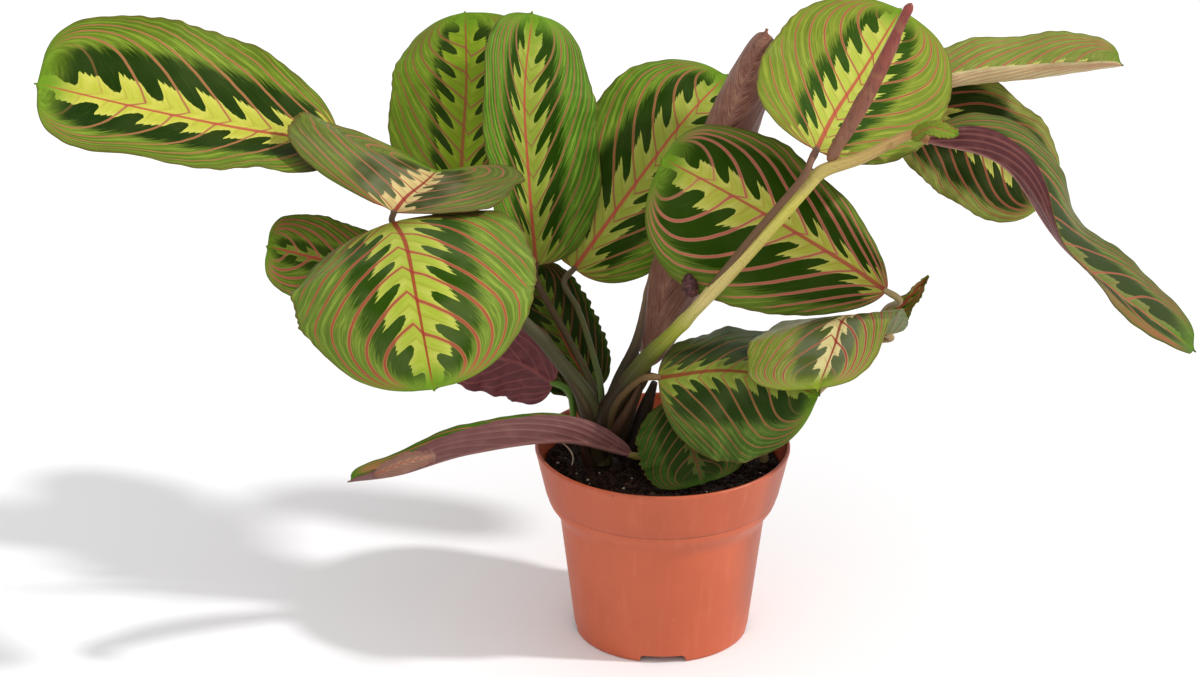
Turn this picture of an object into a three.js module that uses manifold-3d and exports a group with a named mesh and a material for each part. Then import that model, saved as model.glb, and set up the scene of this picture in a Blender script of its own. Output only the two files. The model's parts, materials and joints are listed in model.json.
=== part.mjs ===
// A potted prayer plant: a maranta with broad patterned leaves, in a round terracotta-coloured plastic pot.
// Millimetres, +Z up. The origin is the middle of the pot's underside. The photographed side faces -Y.
import * as THREE from "three";
import { mergeVertices } from "three/addons/utils/BufferGeometryUtils.js";
import Module from "manifold-3d";

const wasm = await Module();
wasm.setup();

const colors = {
  pot: 0xc46142,
  soil: 0x2a1c14,
  leaf: 0x4f7d2b,
  main_shoot: 0x7d8a3c,
  right_stalk: 0xa9a06a,
  low_stalk: 0x8f9a4c,
  new_leaf_spike: 0x7a4a38,
  flower_bud: 0x6a3034,
};

// Pot: radii are of its outside
const potHeight = 95;
const rimRadius = 60;
const rimEdge = 1.6;
const rimRound = 0.6;
const bandFootZ = 72;
const bandFootRadius = 54.9;
const shoulderFootZ = 59;
const shoulderFootRadius = 48.4;
const shoulderProfile = [[49.2, 61], [50.9, 63.6], [53.2, 67], [54.6, 70]];
const shoulderDrop = 0.4;
const footRadius = 41.4;
const footRing = { inner: 39.2, outer: 40.7, lean: 0.6, filletZ: 1.5 };
const wall = 1.4;
const floorUnderZ = 4;
const floorThickness = 1.4;
const floorTopZ = floorUnderZ + floorThickness;
const insideFillet = 2;
const padRadius = 9;
const axisRadius = 0.5;
const potSides = 44;
const arch = { count: 4, width: 22, height: 3.7, corner: 1.5, inset: 4, depth: 12 };
const drain = { count: 6, radius: 3.4, circle: 26, sides: 16 };
const cutMargin = 1;

// Soil: its top is uneven by low waves
const soilTopZ = 84;
const soilEdge = 2;
const soilRings = 6;
const soilWave = { height: 1.2, lengthX: 9, lengthY: 7, drift: 31 };
const holeDepth = 12;
const holeSides = 16;
const fitGap = 0.35;
const sideGap = 0.5;

// Leaf blades
const bladeThickness = 0.8;
const midribDepth = 0.9;
const midribStart = 0.25;
const rowsAlong = 12;
const acrossShares = [-1, -0.8, -0.54, -0.27, 0, 0.27, 0.54, 0.8, 1];
const stalkEndHalf = 1.3;
const tipEndHalf = 0.9;
const tipFrom = 0.985;
const tipStart = 0.93;
const tipTaper = 50;
const curveSteps = 200;
const endShare = 0.002;
const acrossStep = 0.02;
const flatCurl = 1e-4;

// Stems and stalks
const stalkRunIn = 8;
const stalkSides = 7;
const stemStep = 13;
const fewestSteps = 4;
const rootZ = soilTopZ - holeDepth + fitGap;
const mergeTolerance = 1e-4;

// Each blade: points along its midrib from the stalk to the tip, the way its upper side faces at the stalk
// and at the tip, its width, where it is widest (share of its length), how full its outline is towards the
// stalk and the tip, and by what share its right half is wider. Then the fold at the midrib and the curl of
// each half, in degrees at the stalk, the middle and the tip, up being positive. Last the margin's wave: its
// height, its count, and where it starts on the left and right half.
const leaves = [
  {
    name: "leaf_far_left",
    midrib: [[-152, 48, 228], [-189, 25, 241], [-233, 4, 258], [-283, -5, 274]],
    facing: [[0.05, -0.62, 0.8], [0, -0.6, 0.8]],
    width: 88, widest: 0.6, fullness: [2.1, 3.4], skew: 0.0,
    fold: [25, 25, 12], left: [0, 5, 15], right: [-5, -5, -30],
    wave: [1.6, 3, 0.1, 0.4],
  },
  {
    name: "leaf_saddle",
    midrib: [[-122, -21, 218], [-117, -9, 221], [-110, 10, 221], [-105, 33, 219]],
    facing: [[0.05, -0.45, 0.9], [0.05, -0.1, 1]],
    width: 116, widest: 0.45, fullness: [2.4, 2.4], skew: -0.155,
    fold: [16, 15, 10], left: [-20, 0, 28], right: [5, 0, 6],
    wave: [2.5, 2, 0.0, 0.4],
  },
  {
    name: "leaf_front_round",
    midrib: [[-122, -25, 215], [-115, -50, 213], [-109, -80, 199], [-102, -88, 159]],
    facing: [[0, -0.55, 0.83], [0.0, -0.9, 0.43]],
    width: 112, widest: 0.42, fullness: [3.4, 2.3], skew: 0.0,
    fold: [0, 0, 0], left: [-12, -28, -15], right: [-20, -28, -15],
    wave: [1.2, 3, 0.1, 0.4],
  },
  {
    name: "leaf_behind_round",
    midrib: [[-123, 15, 169], [-154, 5, 184], [-182, -5, 196]],
    facing: [[0, -0.7, 0.7], [0, -0.8, 0.6]],
    width: 42, widest: 0.55, fullness: [2.6, 3.0], skew: 0.0,
    fold: [5, 5, 0], left: [-20, -20, -30], right: [-10, -10, -30],
    wave: [1.0, 3, 0.1, 0.4],
  },
  {
    name: "leaf_tall_left",
    midrib: [[-96, 62, 190], [-95, 70, 215], [-93, 82, 246], [-94, 104, 275]],
    facing: [[-0.1, -0.85, 0.5], [-0.1, -0.85, 0.5]],
    width: 74, widest: 0.56, fullness: [2.5, 2.7], skew: 0.0,
    fold: [10, 8, 0], left: [-15, -20, -40], right: [-10, -10, -10],
    wave: [1.2, 3, 0.1, 0.4],
  },
  {
    name: "leaf_tall_centre",
    midrib: [[-60, 47, 166], [-63, 56, 203], [-65, 64, 246], [-61, 80, 282]],
    facing: [[0.5, -0.8, 0.2], [0.5, -0.8, 0.4]],
    width: 66, widest: 0.52, fullness: [2.6, 3.0], skew: 0.12,
    fold: [22, 19, 10], left: [0, 5, 0], right: [-15, -20, -40],
    wave: [1.2, 3, 0.1, 0.4],
  },
  {
    name: "leaf_fan_right",
    midrib: [[-42, 52, 162], [-10, 74, 201], [13, 92, 226], [33, 114, 240]],
    facing: [[-0.1, -0.9, 0.45], [-0.1, -0.8, 0.6]],
    width: 79, widest: 0.54, fullness: [2.5, 2.5], skew: 0.0,
    fold: [14, 10, 5], left: [-10, -10, -20], right: [-10, -15, -30],
    wave: [2, 3, 0.1, 0.4],
  },
  {
    name: "leaf_rolled_back",
    midrib: [[-7, 12, 129], [6, 22, 174], [30, 35, 238], [48, 49, 283]],
    facing: [[0.15, 0.9, -0.2], [0.15, 0.9, -0.2]],
    width: 60, widest: 0.62, fullness: [2.0, 3.0], skew: 0.0,
    fold: [20, 20, 30], left: [60, 80, 90], right: [60, 80, 90],
    wave: [0.5, 3, 0.1, 0.4],
  },
  {
    name: "leaf_right_centre",
    midrib: [[103, 4, 170], [82, 4, 185], [39, 5, 212], [-2, 12, 233]],
    facing: [[0.1, -0.8, 0.6], [-0.15, -0.8, 0.6]],
    width: 82, widest: 0.65, fullness: [1.6, 2.5], skew: -0.16,
    fold: [9, 6, 0], left: [-16, -26, -45], right: [-15, -20, -40],
    wave: [1.5, 3, 0.1, 0.4],
  },
  {
    name: "leaf_top_round",
    midrib: [[67, -20, 247], [77, 8, 255], [93, 42, 266], [112, 72, 286]],
    facing: [[0.2, -0.6, 0.77], [0.15, -0.6, 0.77]],
    width: 86, widest: 0.54, fullness: [2.3, 2.6], skew: 0.0,
    fold: [8, 6, 0], left: [-15, -15, -15], right: [-15, -15, -15],
    wave: [1, 3, 0.1, 0.4],
  },
  {
    name: "leaf_right_top",
    midrib: [[113, 54, 247], [139, 58, 253], [177, 60, 256], [215, 56, 263]],
    facing: [[0, -0.15, 0.98], [0, -0.15, 0.98]],
    width: 46, widest: 0.58, fullness: [2.2, 2.8], skew: -0.5,
    fold: [12, 12, 12], left: [-5, -5, -10], right: [110, 110, 60],
    wave: [1.0, 3, 0.1, 0.4],
  },
  {
    name: "leaf_right_dark",
    midrib: [[114, 76, 238], [137, 73, 227], [153, 69, 218], [185, 58, 197]],
    facing: [[0.1, -0.75, 0.66], [0.3, -0.75, 0.6]],
    width: 66, widest: 0.5, fullness: [2.5, 2.7], skew: 0.0,
    fold: [5, 5, 0], left: [-10, -15, -30], right: [-10, -10, -10],
    wave: [1.5, 3, 0.1, 0.4],
  },
  {
    name: "leaf_long_drooping",
    midrib: [[116, -20, 252], [150, -34, 245], [180, -44, 207], [238, -50, 162]],
    facing: [[0.15, 0.15, 0.97], [0.6, -0.25, 0.7]],
    width: 56, widest: 0.42, fullness: [2.1, 3.0], skew: -0.42,
    fold: [40, 12, 5], left: [-10, -10, -5], right: [170, 15, -10],
    wave: [1.6, 3, 0.1, 0.4],
  },
  {
    name: "leaf_lower_right",
    midrib: [[105, 20, 142], [93, -2, 160], [81, -30, 170], [75, -54, 166], [66, -80, 156]],
    facing: [[-0.1, 0.12, 0.97], [-0.48, -0.5, 0.72]],
    width: 68, widest: 0.66, fullness: [2.3, 2.8], skew: 0.3,
    fold: [0, 0, 0], left: [0, -5, 0], right: [0, -8, 0],
    wave: [1.5, 3, 0.1, 0.4],
  },
  {
    name: "leaf_lower_fold",
    midrib: [[-3, -25, 139], [25, -28, 144], [48, -31, 142], [71, -37, 135]],
    facing: [[0, -0.62, 0.78], [0, -0.62, 0.78]],
    width: 86, widest: 0.45, fullness: [2.6, 2.6], skew: -0.02,
    fold: [-25, -25, -10], left: [-18, -18, -10], right: [-15, -15, -30],
    wave: [1.5, 3, 0.1, 0.4],
  },
  {
    name: "leaf_over_soil",
    midrib: [[5, -12, 123], [12, -26, 108], [18, -36, 90]],
    facing: [[-0.2, -0.7, 0.7], [-0.1, -0.7, 0.7]],
    width: 50, widest: 0.55, fullness: [2.4, 3.2], skew: 0.0,
    fold: [5, 0, 0], left: [-10, -10, -10], right: [-10, -10, -10],
    wave: [1.5, 3, 0.1, 0.4],
  },
  {
    name: "leaf_lower_left",
    midrib: [[-15, -14, 95], [-48, -26, 108], [-89, -40, 108], [-120, -50, 102], [-144, -58, 102]],
    facing: [[0, 0.2, 0.97], [0, 0.1, 0.97], [0, -0.3, 0.9]],
    width: 29, widest: 0.5, fullness: [2.0, 2.7], skew: 0.0,
    fold: [50, 45, 20], left: [50, 60, 30], right: [30, 10, 0],
    wave: [1.0, 3, 0.1, 0.4],
  },
  {
    name: "leaf_underside",
    midrib: [[-51, 10, 121], [-71, 17, 130], [-110, 20, 134]],
    facing: [[0.1, 0.95, 0.3], [0.1, 0.95, 0.3]],
    width: 48, widest: 0.4, fullness: [2.8, 2.4], skew: 0.0,
    fold: [5, 5, 5], left: [-10, -10, -10], right: [-10, -10, -10],
    wave: [1.2, 5, 0.1, 0.4],
  },
  {
    name: "leaf_centre_dark",
    midrib: [[-32, 18, 114], [-46, 36, 132], [-63, 58, 164]],
    facing: [[0.15, -0.85, 0.5], [0.15, -0.85, 0.5]],
    width: 44, widest: 0.5, fullness: [2.4, 2.4], skew: -0.15,
    fold: [10, 10, 5], left: [-10, -10, -10], right: [-10, -10, -10],
    wave: [0.8, 6, 0.1, 0.4],
  },
  {
    name: "leaf_curled_tail",
    midrib: [[100, 34, 135], [113, 33, 151], [125, 29, 168]],
    facing: [[0.3, -0.8, 0.5], [0.3, -0.8, 0.5]],
    width: 22, widest: 0.4, fullness: [2.0, 2.0], skew: 0.0,
    fold: [20, 20, 30], left: [30, 30, 40], right: [30, 30, 60],
    wave: [0.8, 3, 0.1, 0.4],
  },
];

// Stems and stalks. Each runs through its points, and on to the start of the blade that it names. Radii are
// spread evenly from its first end to its last.
const shoots = {
  main_shoot: [
    {
      points: [[-30, 1, rootZ], [-30, 1, 86], [-30, 1, 92], [-27, -2, 108]],
      radii: [7, 6.4, 4.6],
      sides: 12,
    },
    {
      points: [[-31, 0, 90], [-28, -3, 108], [-9, -9, 140], [9, -14, 162], [38, -22, 200], [67, -27, 238]],
      radii: [5, 4.4, 3.4],
      sides: 9,
    },
    { points: [[60, -26, 230], [70, -27, 240], [87, -24, 245]],
      radii: [3.4, 2], blade: "leaf_long_drooping" },
    { points: [[21, -18, 180], [42, -26, 212], [60, -31, 237]], radii: [2, 1.5], blade: "leaf_top_round" },
    { points: [[75, -26, 242], [80, -2, 236], [93, 26, 241]], radii: [1.7, 1.3], blade: "leaf_right_top" },
    { points: [[88, 16, 239], [96, 44, 243]], radii: [1.4, 1.3], blade: "leaf_right_dark" },
    {
      points: [[-30, 0, 88], [-33, -4, 116], [-48, -6, 139], [-63, -5, 157], [-98, -15, 195],
        [-121, -23, 212], [-122, -23.15, 219.6]],
      radii: [3.6, 3.2, 1.2],
      sides: 9,
    },
    { points: [[-30, 2, 92], [-40, 12, 114], [-60, 25, 140], [-96, 42, 182], [-130, 52, 214]],
      radii: [2, 1.4], blade: "leaf_far_left" },
    { points: [[-30, 2, 92], [-42, 11, 112], [-62, 25, 132], [-92, 28, 153]],
      radii: [1.8, 1.3], blade: "leaf_behind_round" },
    { points: [[-30, 2, 94], [-38, 12, 114], [-58, 24, 134], [-78, 38, 154]],
      radii: [2, 1.4], blade: "leaf_tall_left" },
    { points: [[-28, 2, 94], [-32, 12, 116], [-44, 22, 138]], radii: [2, 1.5], blade: "leaf_tall_centre" },
    { points: [[-28, 3, 94], [-29, 8, 119], [-34, 18, 137], [-40, 32, 150]],
      radii: [1.7, 1.3], blade: "leaf_fan_right" },
    { points: [[-27, 2, 96], [-19, 6, 108]], radii: [2.8, 1.6], blade: "leaf_rolled_back" },
    { points: [[-33, 2, 90], [-41, 7, 103]], radii: [1.6, 1.3], blade: "leaf_underside" },
    { points: [[-29, 3, 92], [-28, 9, 104]], radii: [1.8, 1.3], blade: "leaf_centre_dark" },
    { points: [[-26, -4, 100], [-22, -12, 120]], radii: [2, 1.3], blade: "leaf_lower_fold" },
    { points: [[-16, -8, 126], [-8, -4, 131]], radii: [1.6, 1.3], blade: "leaf_over_soil" },
    { points: [[-26, 0, 104], [-15, 8, 128], [-11, 8, 149], [-8, 8, 170]], radii: [1.8, 1.4, 0.5] },
    { points: [[-26, -4, 96], [-17, -10, 116], [-11, -13, 130]], radii: [3.2, 2.4, 0.6] },
    { points: [[-32, -2, 88], [-36, -5, 97], [-37, -6, 101]], radii: [2, 1.6, 0.5] },
  ],
  right_stalk: [
    {
      points: [[48, 1, rootZ], [48, 1, 86], [48, 1, 90], [57, 7, 98], [72, 17, 112], [89, 24, 127],
        [97, 28, 134]],
      radii: [2.4, 2, 1.7],
      sides: 10,
    },
    { points: [[90, 24.5, 128], [98, 28.5, 134]], radii: [1.7, 1.4], blade: "leaf_lower_right" },
    { points: [[90, 24.5, 128], [101, 27, 144], [105, 18, 156]],
      radii: [1.7, 1.4], blade: "leaf_right_centre" },
    { points: [[88, 24, 126], [90, 31, 127]], radii: [1.3, 1], blade: "leaf_curled_tail" },
  ],
  low_stalk: [
    { points: [[-6, -9, rootZ], [-6, -9, 86], [-6, -9, 89]], radii: [2.2, 1.4], blade: "leaf_lower_left" },
  ],
  new_leaf_spike: [
    {
      points: [[72.9, -25.4, 245.1], [87, -28, 273], [106, -32, 319]],
      radii: [1.4, 3.4, 0.5],
      sides: 10,
    },
  ],
  flower_bud: [
    { points: [[13, -15.1, 175.2], [11.4, -14.2, 181.5], [10.6, -13.5, 187]], radii: [0.9, 3.2, 0.5] },
  ],
};

// Round holes in the soil for the stems: where, and how wide
const soilHoles = [
  { at: [-30, 1], radius: 7.5 },
  { at: [48, 1], radius: 2.9 },
  { at: [-6, -9], radius: 2.7 },
];

const object = new THREE.Group();

function addPiece(name, geometry, color) {
  const mesh = new THREE.Mesh(geometry, new THREE.MeshStandardMaterial({ color, roughness: 0.6 }));
  mesh.name = name;
  object.add(mesh);
}

function bareGeometry(points, faces) {
  const geometry = new THREE.BufferGeometry();
  geometry.setAttribute("position", new THREE.Float32BufferAttribute(points, 3));
  geometry.setIndex(faces);
  return geometry;
}

function solidOf(geometry) {
  const bare = geometry.clone();
  bare.deleteAttribute("normal");
  bare.deleteAttribute("uv");
  const merged = mergeVertices(bare, mergeTolerance);
  return new wasm.Manifold(
    new wasm.Mesh({
      numProp: 3,
      vertProperties: new Float32Array(merged.attributes.position.array),
      triVerts: new Uint32Array(merged.index.array),
    }),
  );
}

function geometryOf(solid) {
  const mesh = solid.getMesh();
  return bareGeometry([...mesh.vertProperties], [...mesh.triVerts]);
}

// A closed skin over rings of equal count, the first and the last ring closed flat
function loftGeometry(rings) {
  const sides = rings[0].length;
  const last = (rings.length - 1) * sides;
  const faces = [];
  for (let i = 0; i < rings.length - 1; i++) {
    for (let k = 0; k < sides; k++) {
      const a = i * sides + k;
      const b = i * sides + ((k + 1) % sides);
      faces.push(a, b, a + sides, b, b + sides, a + sides);
    }
  }
  for (let k = 1; k < sides - 1; k++) faces.push(0, k + 1, k, last, last + k, last + k + 1);
  return bareGeometry(rings.flat().flatMap((p) => p.toArray()), faces);
}

// A ring of points round the pot's axis; the height may vary from point to point
function levelRing(radius, height, sides) {
  return Array.from({ length: sides }, (_, k) => {
    const turn = (2 * Math.PI * k) / sides;
    const x = radius * Math.cos(turn);
    const y = radius * Math.sin(turn);
    return new THREE.Vector3(x, y, typeof height === "function" ? height(x, y) : height);
  });
}

function smoothCurve(points) {
  const spots = points.map((p) => new THREE.Vector3(...p));
  const curve = new THREE.CatmullRomCurve3(spots, false, "catmullrom", 0.5);
  curve.arcLengthDivisions = curveSteps;
  return curve;
}

// A value given at the stalk, the middle and the tip, at share u of the length
function along([stalk, middle, tip], u) {
  return stalk * (1 - u) * (1 - 2 * u) + middle * 4 * u * (1 - u) + tip * u * (2 * u - 1);
}

// Half of the blade's width at share u of its length, on the side whose sign is given
function halfWidth(leaf, u, side) {
  const s = Math.min(u / tipFrom, 1);
  const beforeWidest = s < leaf.widest;
  const away = (s - leaf.widest) / (beforeWidest ? leaf.widest : 1 - leaf.widest);
  const power = leaf.fullness[beforeWidest ? 0 : 1];
  const outline = Math.max(0, 1 - Math.abs(away) ** power) ** (1 / power);
  const half = (leaf.width / 2) * (1 + side * leaf.skew) * outline;
  return u < tipStart ? Math.max(half, stalkEndHalf) : Math.max(half, (1 - u) * tipTaper, tipEndHalf);
}

// A point of the blade's middle surface: u runs from stalk to tip, v from the left margin (-1) to the right
function bladePoint(leaf, curve, u, v) {
  const at = curve.getPointAt(u);
  const t = curve.getTangentAt(u);
  const face = new THREE.Vector3(...leaf.facing[0]).lerp(new THREE.Vector3(...leaf.facing[1]), u);
  const up = face.addScaledVector(t, -face.dot(t)).normalize();
  const right = new THREE.Vector3().crossVectors(t, up);
  const side = v < 0 ? -1 : 1;
  const share = Math.abs(v);
  const half = halfWidth(leaf, u, side);
  const fold = THREE.MathUtils.degToRad(along(leaf.fold, u));
  const curl = THREE.MathUtils.degToRad(along(side > 0 ? leaf.right : leaf.left, u));
  const angle = fold + curl * share;
  const flat = Math.abs(curl) < flatCurl;
  const out = flat ? share * Math.cos(fold) : (Math.sin(angle) - Math.sin(fold)) / curl;
  const rise = flat ? share * Math.sin(fold) : (Math.cos(fold) - Math.cos(angle)) / curl;
  const [height, count, startLeft, startRight] = leaf.wave;
  const swell = height * share ** 2 * Math.sqrt(Math.sin(Math.PI * u));
  const wave = swell * Math.sin(2 * Math.PI * (count * u + (side > 0 ? startRight : startLeft)));
  return at
    .addScaledVector(right, side * (half * out - wave * Math.sin(angle)))
    .addScaledVector(up, half * rise + wave * Math.cos(angle));
}

// A blade as one closed body: the same grid above and below, split alike, and a rim that joins them. The
// midrib stands out below.
function bladeGeometry(leaf) {
  const curve = smoothCurve(leaf.midrib);
  const columns = acrossShares.length;
  const upper = [];
  const lower = [];
  for (let i = 0; i <= rowsAlong; i++) {
    const even = (1 - Math.cos((Math.PI * i) / rowsAlong)) / 2;
    const u = Math.min(Math.max(even, endShare), 1 - endShare);
    for (const v of acrossShares) {
      const forward = bladePoint(leaf, curve, u + endShare, v).sub(bladePoint(leaf, curve, u - endShare, v));
      const from = v > 0 ? v - acrossStep : v;
      const across = bladePoint(leaf, curve, u, from + acrossStep).sub(bladePoint(leaf, curve, u, from));
      const normal = across.cross(forward).normalize();
      const at = bladePoint(leaf, curve, u, v);
      const rib = v ? 0 : midribDepth * Math.sin(Math.PI * Math.min(u + midribStart, 1));
      upper.push(at.clone().addScaledVector(normal, bladeThickness / 2));
      lower.push(at.addScaledVector(normal, -bladeThickness / 2 - rib));
    }
  }
  const faces = [];
  const under = upper.length;
  for (let i = 0; i < rowsAlong; i++) {
    for (let j = 0; j < columns - 1; j++) {
      const a = i * columns + j;
      const b = a + columns;
      faces.push(a, a + 1, b, b, a + 1, b + 1);
      faces.push(under + a, under + b, under + a + 1, under + b, under + b + 1, under + a + 1);
    }
  }
  const rim = [];
  for (let j = 0; j < columns - 1; j++) rim.push(j);
  for (let i = 0; i < rowsAlong; i++) rim.push((i + 1) * columns - 1);
  for (let j = columns - 1; j > 0; j--) rim.push(rowsAlong * columns + j);
  for (let i = rowsAlong; i > 0; i--) rim.push(i * columns);
  rim.forEach((a, k) => {
    const b = rim[(k + 1) % rim.length];
    faces.push(a, under + a, b, b, under + a, under + b);
  });
  return bareGeometry([...upper, ...lower].flatMap((p) => p.toArray()), faces);
}

// A round stem along its points. Before a blade it stops short by the fit gap.
function stemGeometry({ points, radii, sides = stalkSides, blade }) {
  const route = [...points];
  if (blade) {
    const base = smoothCurve(leaves.find((leaf) => leaf.name === blade).midrib);
    const start = base.getPointAt(0);
    const way = base.getTangentAt(0);
    for (const back of [stalkRunIn, fitGap]) route.push(start.clone().addScaledVector(way, -back).toArray());
  }
  const curve = smoothCurve(route);
  const steps = Math.max(fewestSteps, Math.round(curve.getLength() / stemStep));
  const { normals, binormals } = curve.computeFrenetFrames(steps, false);
  const widths = smoothCurve(radii.map((radius, k) => [k, radius, 0]));
  const rings = normals.map((normal, i) => {
    const radius = widths.getPoint(i / steps).y;
    return Array.from({ length: sides }, (_, k) => {
      const turn = (2 * Math.PI * k) / sides;
      return curve
        .getPointAt(i / steps)
        .addScaledVector(normal, radius * Math.cos(turn))
        .addScaledVector(binormals[i], radius * Math.sin(turn));
    });
  });
  return loftGeometry(rings);
}

// The pot: foot pad, floor, foot ring, wall, S-shaped shoulder, band and rolled rim, then back down inside
const outerProfile = [
  [axisRadius, 0],
  [padRadius, 0],
  [padRadius + footRing.lean, floorUnderZ],
  [footRing.inner - footRing.lean, floorUnderZ],
  [footRing.inner, 0],
  [footRing.outer, 0],
  [footRadius, footRing.filletZ],
  [shoulderFootRadius, shoulderFootZ],
  ...shoulderProfile,
  [bandFootRadius, bandFootZ],
  [rimRadius, potHeight - rimEdge],
  [rimRadius, potHeight - rimRound],
  [rimRadius - rimRound, potHeight],
];
const innerProfile = [
  [rimRadius - wall, potHeight - rimRound],
  [rimRadius - wall, potHeight - rimEdge],
  [bandFootRadius - wall, bandFootZ],
  ...shoulderProfile.toReversed().map(([radius, z]) => [radius - wall, z - shoulderDrop]),
  [shoulderFootRadius - wall, shoulderFootZ - shoulderDrop],
  [footRadius - wall, floorTopZ + insideFillet],
  [footRadius - wall - insideFillet, floorTopZ],
  [axisRadius, floorTopZ],
];
const potRings = [...outerProfile, ...innerProfile].map(([radius, z]) => levelRing(radius, z, potSides));
let pot = solidOf(loftGeometry(potRings));
const archHalf = arch.width / 2;
const archOutline = new THREE.Shape([
  new THREE.Vector2(-archHalf, -cutMargin),
  new THREE.Vector2(archHalf, -cutMargin),
  new THREE.Vector2(archHalf, arch.height - arch.corner),
  new THREE.Vector2(archHalf - arch.corner, arch.height),
  new THREE.Vector2(arch.corner - archHalf, arch.height),
  new THREE.Vector2(-archHalf, arch.height - arch.corner),
]);
for (let k = 0; k < arch.count; k++) {
  const cutter = new THREE.ExtrudeGeometry(archOutline, { depth: arch.depth, bevelEnabled: false });
  cutter.rotateX(Math.PI / 2).translate(0, arch.inset - footRadius, 0);
  cutter.rotateZ((2 * Math.PI * k) / arch.count);
  pot = pot.subtract(solidOf(cutter));
}
const drainHeight = floorThickness + 2 * cutMargin;
for (let k = 0; k < drain.count; k++) {
  const turn = (2 * Math.PI * (k + 0.5)) / drain.count;
  const cutter = new THREE.CylinderGeometry(drain.radius, drain.radius, drainHeight, drain.sides);
  cutter.rotateX(Math.PI / 2).translate(drain.circle, 0, floorUnderZ + floorThickness / 2).rotateZ(turn);
  pot = pot.subtract(solidOf(cutter));
}
addPiece("pot", geometryOf(pot), colors.pot);

// Soil: it fills the pot with the fit gap all round
function soilTop(x, y) {
  const wave = Math.sin(x / soilWave.lengthX + 1) * Math.cos(y / soilWave.lengthY + x / soilWave.drift);
  return soilTopZ + soilWave.height * wave;
}
const soilSide = innerProfile.filter(([radius, z]) => radius > axisRadius && z < soilTopZ).toReversed();
const bandLean = (rimRadius - bandFootRadius) / (potHeight - rimEdge - bandFootZ);
const soilRadius = bandFootRadius - wall + (soilTopZ - soilEdge - bandFootZ) * bandLean - sideGap;
const soilSkin = [
  levelRing(axisRadius, floorTopZ + fitGap, potSides),
  ...soilSide.map(([radius, z]) => levelRing(radius - sideGap, z + fitGap, potSides)),
  levelRing(soilRadius, soilTopZ - soilEdge, potSides),
];
for (let k = soilRings; k > 0; k--) {
  soilSkin.push(levelRing((soilRadius * (k - 0.5)) / soilRings, soilTop, potSides));
}
let soil = solidOf(loftGeometry(soilSkin));
for (const { at, radius } of soilHoles) {
  const hole = new THREE.CylinderGeometry(radius, radius, 2 * holeDepth, holeSides);
  hole.rotateX(Math.PI / 2).translate(...at, soilTopZ);
  soil = soil.subtract(solidOf(hole));
}
addPiece("soil", geometryOf(soil), colors.soil);

for (const [name, stems] of Object.entries(shoots)) {
  const solids = stems.map((stem) => solidOf(stemGeometry(stem)));
  addPiece(name, geometryOf(wasm.Manifold.union(solids)), colors[name]);
}
for (const leaf of leaves) addPiece(leaf.name, bladeGeometry(leaf), colors.leaf);

export default object;
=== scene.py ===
import json
import math

import bpy
import numpy as np
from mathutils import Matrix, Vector

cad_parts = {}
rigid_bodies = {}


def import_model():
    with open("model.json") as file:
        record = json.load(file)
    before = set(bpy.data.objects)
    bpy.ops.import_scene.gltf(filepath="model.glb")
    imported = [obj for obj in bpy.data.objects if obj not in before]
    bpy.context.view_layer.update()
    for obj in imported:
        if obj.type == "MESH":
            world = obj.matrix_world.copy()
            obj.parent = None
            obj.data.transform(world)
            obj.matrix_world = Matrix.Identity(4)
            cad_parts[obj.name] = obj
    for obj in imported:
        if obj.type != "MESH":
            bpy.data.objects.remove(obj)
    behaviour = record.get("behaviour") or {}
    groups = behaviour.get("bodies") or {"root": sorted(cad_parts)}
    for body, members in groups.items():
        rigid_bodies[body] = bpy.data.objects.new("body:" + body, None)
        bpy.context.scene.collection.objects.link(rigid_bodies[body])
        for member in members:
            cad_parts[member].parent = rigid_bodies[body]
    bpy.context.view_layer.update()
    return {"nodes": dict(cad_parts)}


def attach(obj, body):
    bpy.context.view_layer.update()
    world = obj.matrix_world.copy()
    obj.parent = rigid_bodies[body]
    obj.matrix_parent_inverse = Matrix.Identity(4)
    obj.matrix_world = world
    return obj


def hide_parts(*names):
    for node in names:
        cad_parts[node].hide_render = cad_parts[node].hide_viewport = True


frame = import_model()
mm = 0.001
print("frame loaded:", len(frame["nodes"]), "nodes")

# The camera sees the plant from the front, a little from above
cameraView = {"aim": [-29.4, 0, 148], "distance": 1500, "pitch": 22.5, "lens": 97, "sensor": 36}
pitch = math.radians(cameraView["pitch"])
aim = Vector(cameraView["aim"]) * mm
cameraData = bpy.data.cameras.new("camera")
cameraData.lens = cameraView["lens"]
cameraData.sensor_width = cameraView["sensor"]
camera = bpy.data.objects.new("camera", cameraData)
bpy.context.scene.collection.objects.link(camera)
back = Vector((0, -math.cos(pitch), math.sin(pitch)))
camera.location = aim + back * cameraView["distance"] * mm
camera.rotation_euler = (-back).to_track_quat("-Z", "Y").to_euler()
bpy.context.scene.camera = camera


# One socket's value: arithmetic on it adds Math nodes
class Wire:
    def __init__(self, bench, socket):
        self.bench = bench
        self.socket = socket

    def maths(self, operation, *values):
        return self.bench.add("ShaderNodeMath", {"operation": operation}, values)

    def __add__(self, other):
        return self.maths("ADD", self, other)

    def __sub__(self, other):
        return self.maths("SUBTRACT", self, other)

    def __rsub__(self, other):
        return self.maths("SUBTRACT", other, self)

    def __mul__(self, other):
        return self.maths("MULTIPLY", self, other)

    def __truediv__(self, other):
        return self.maths("DIVIDE", self, other)

    def __abs__(self):
        return self.maths("ABSOLUTE", self)

    def fraction(self):
        return self.maths("FRACT", self)

    def atMost(self, other):
        return self.maths("MINIMUM", self, other)


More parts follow.
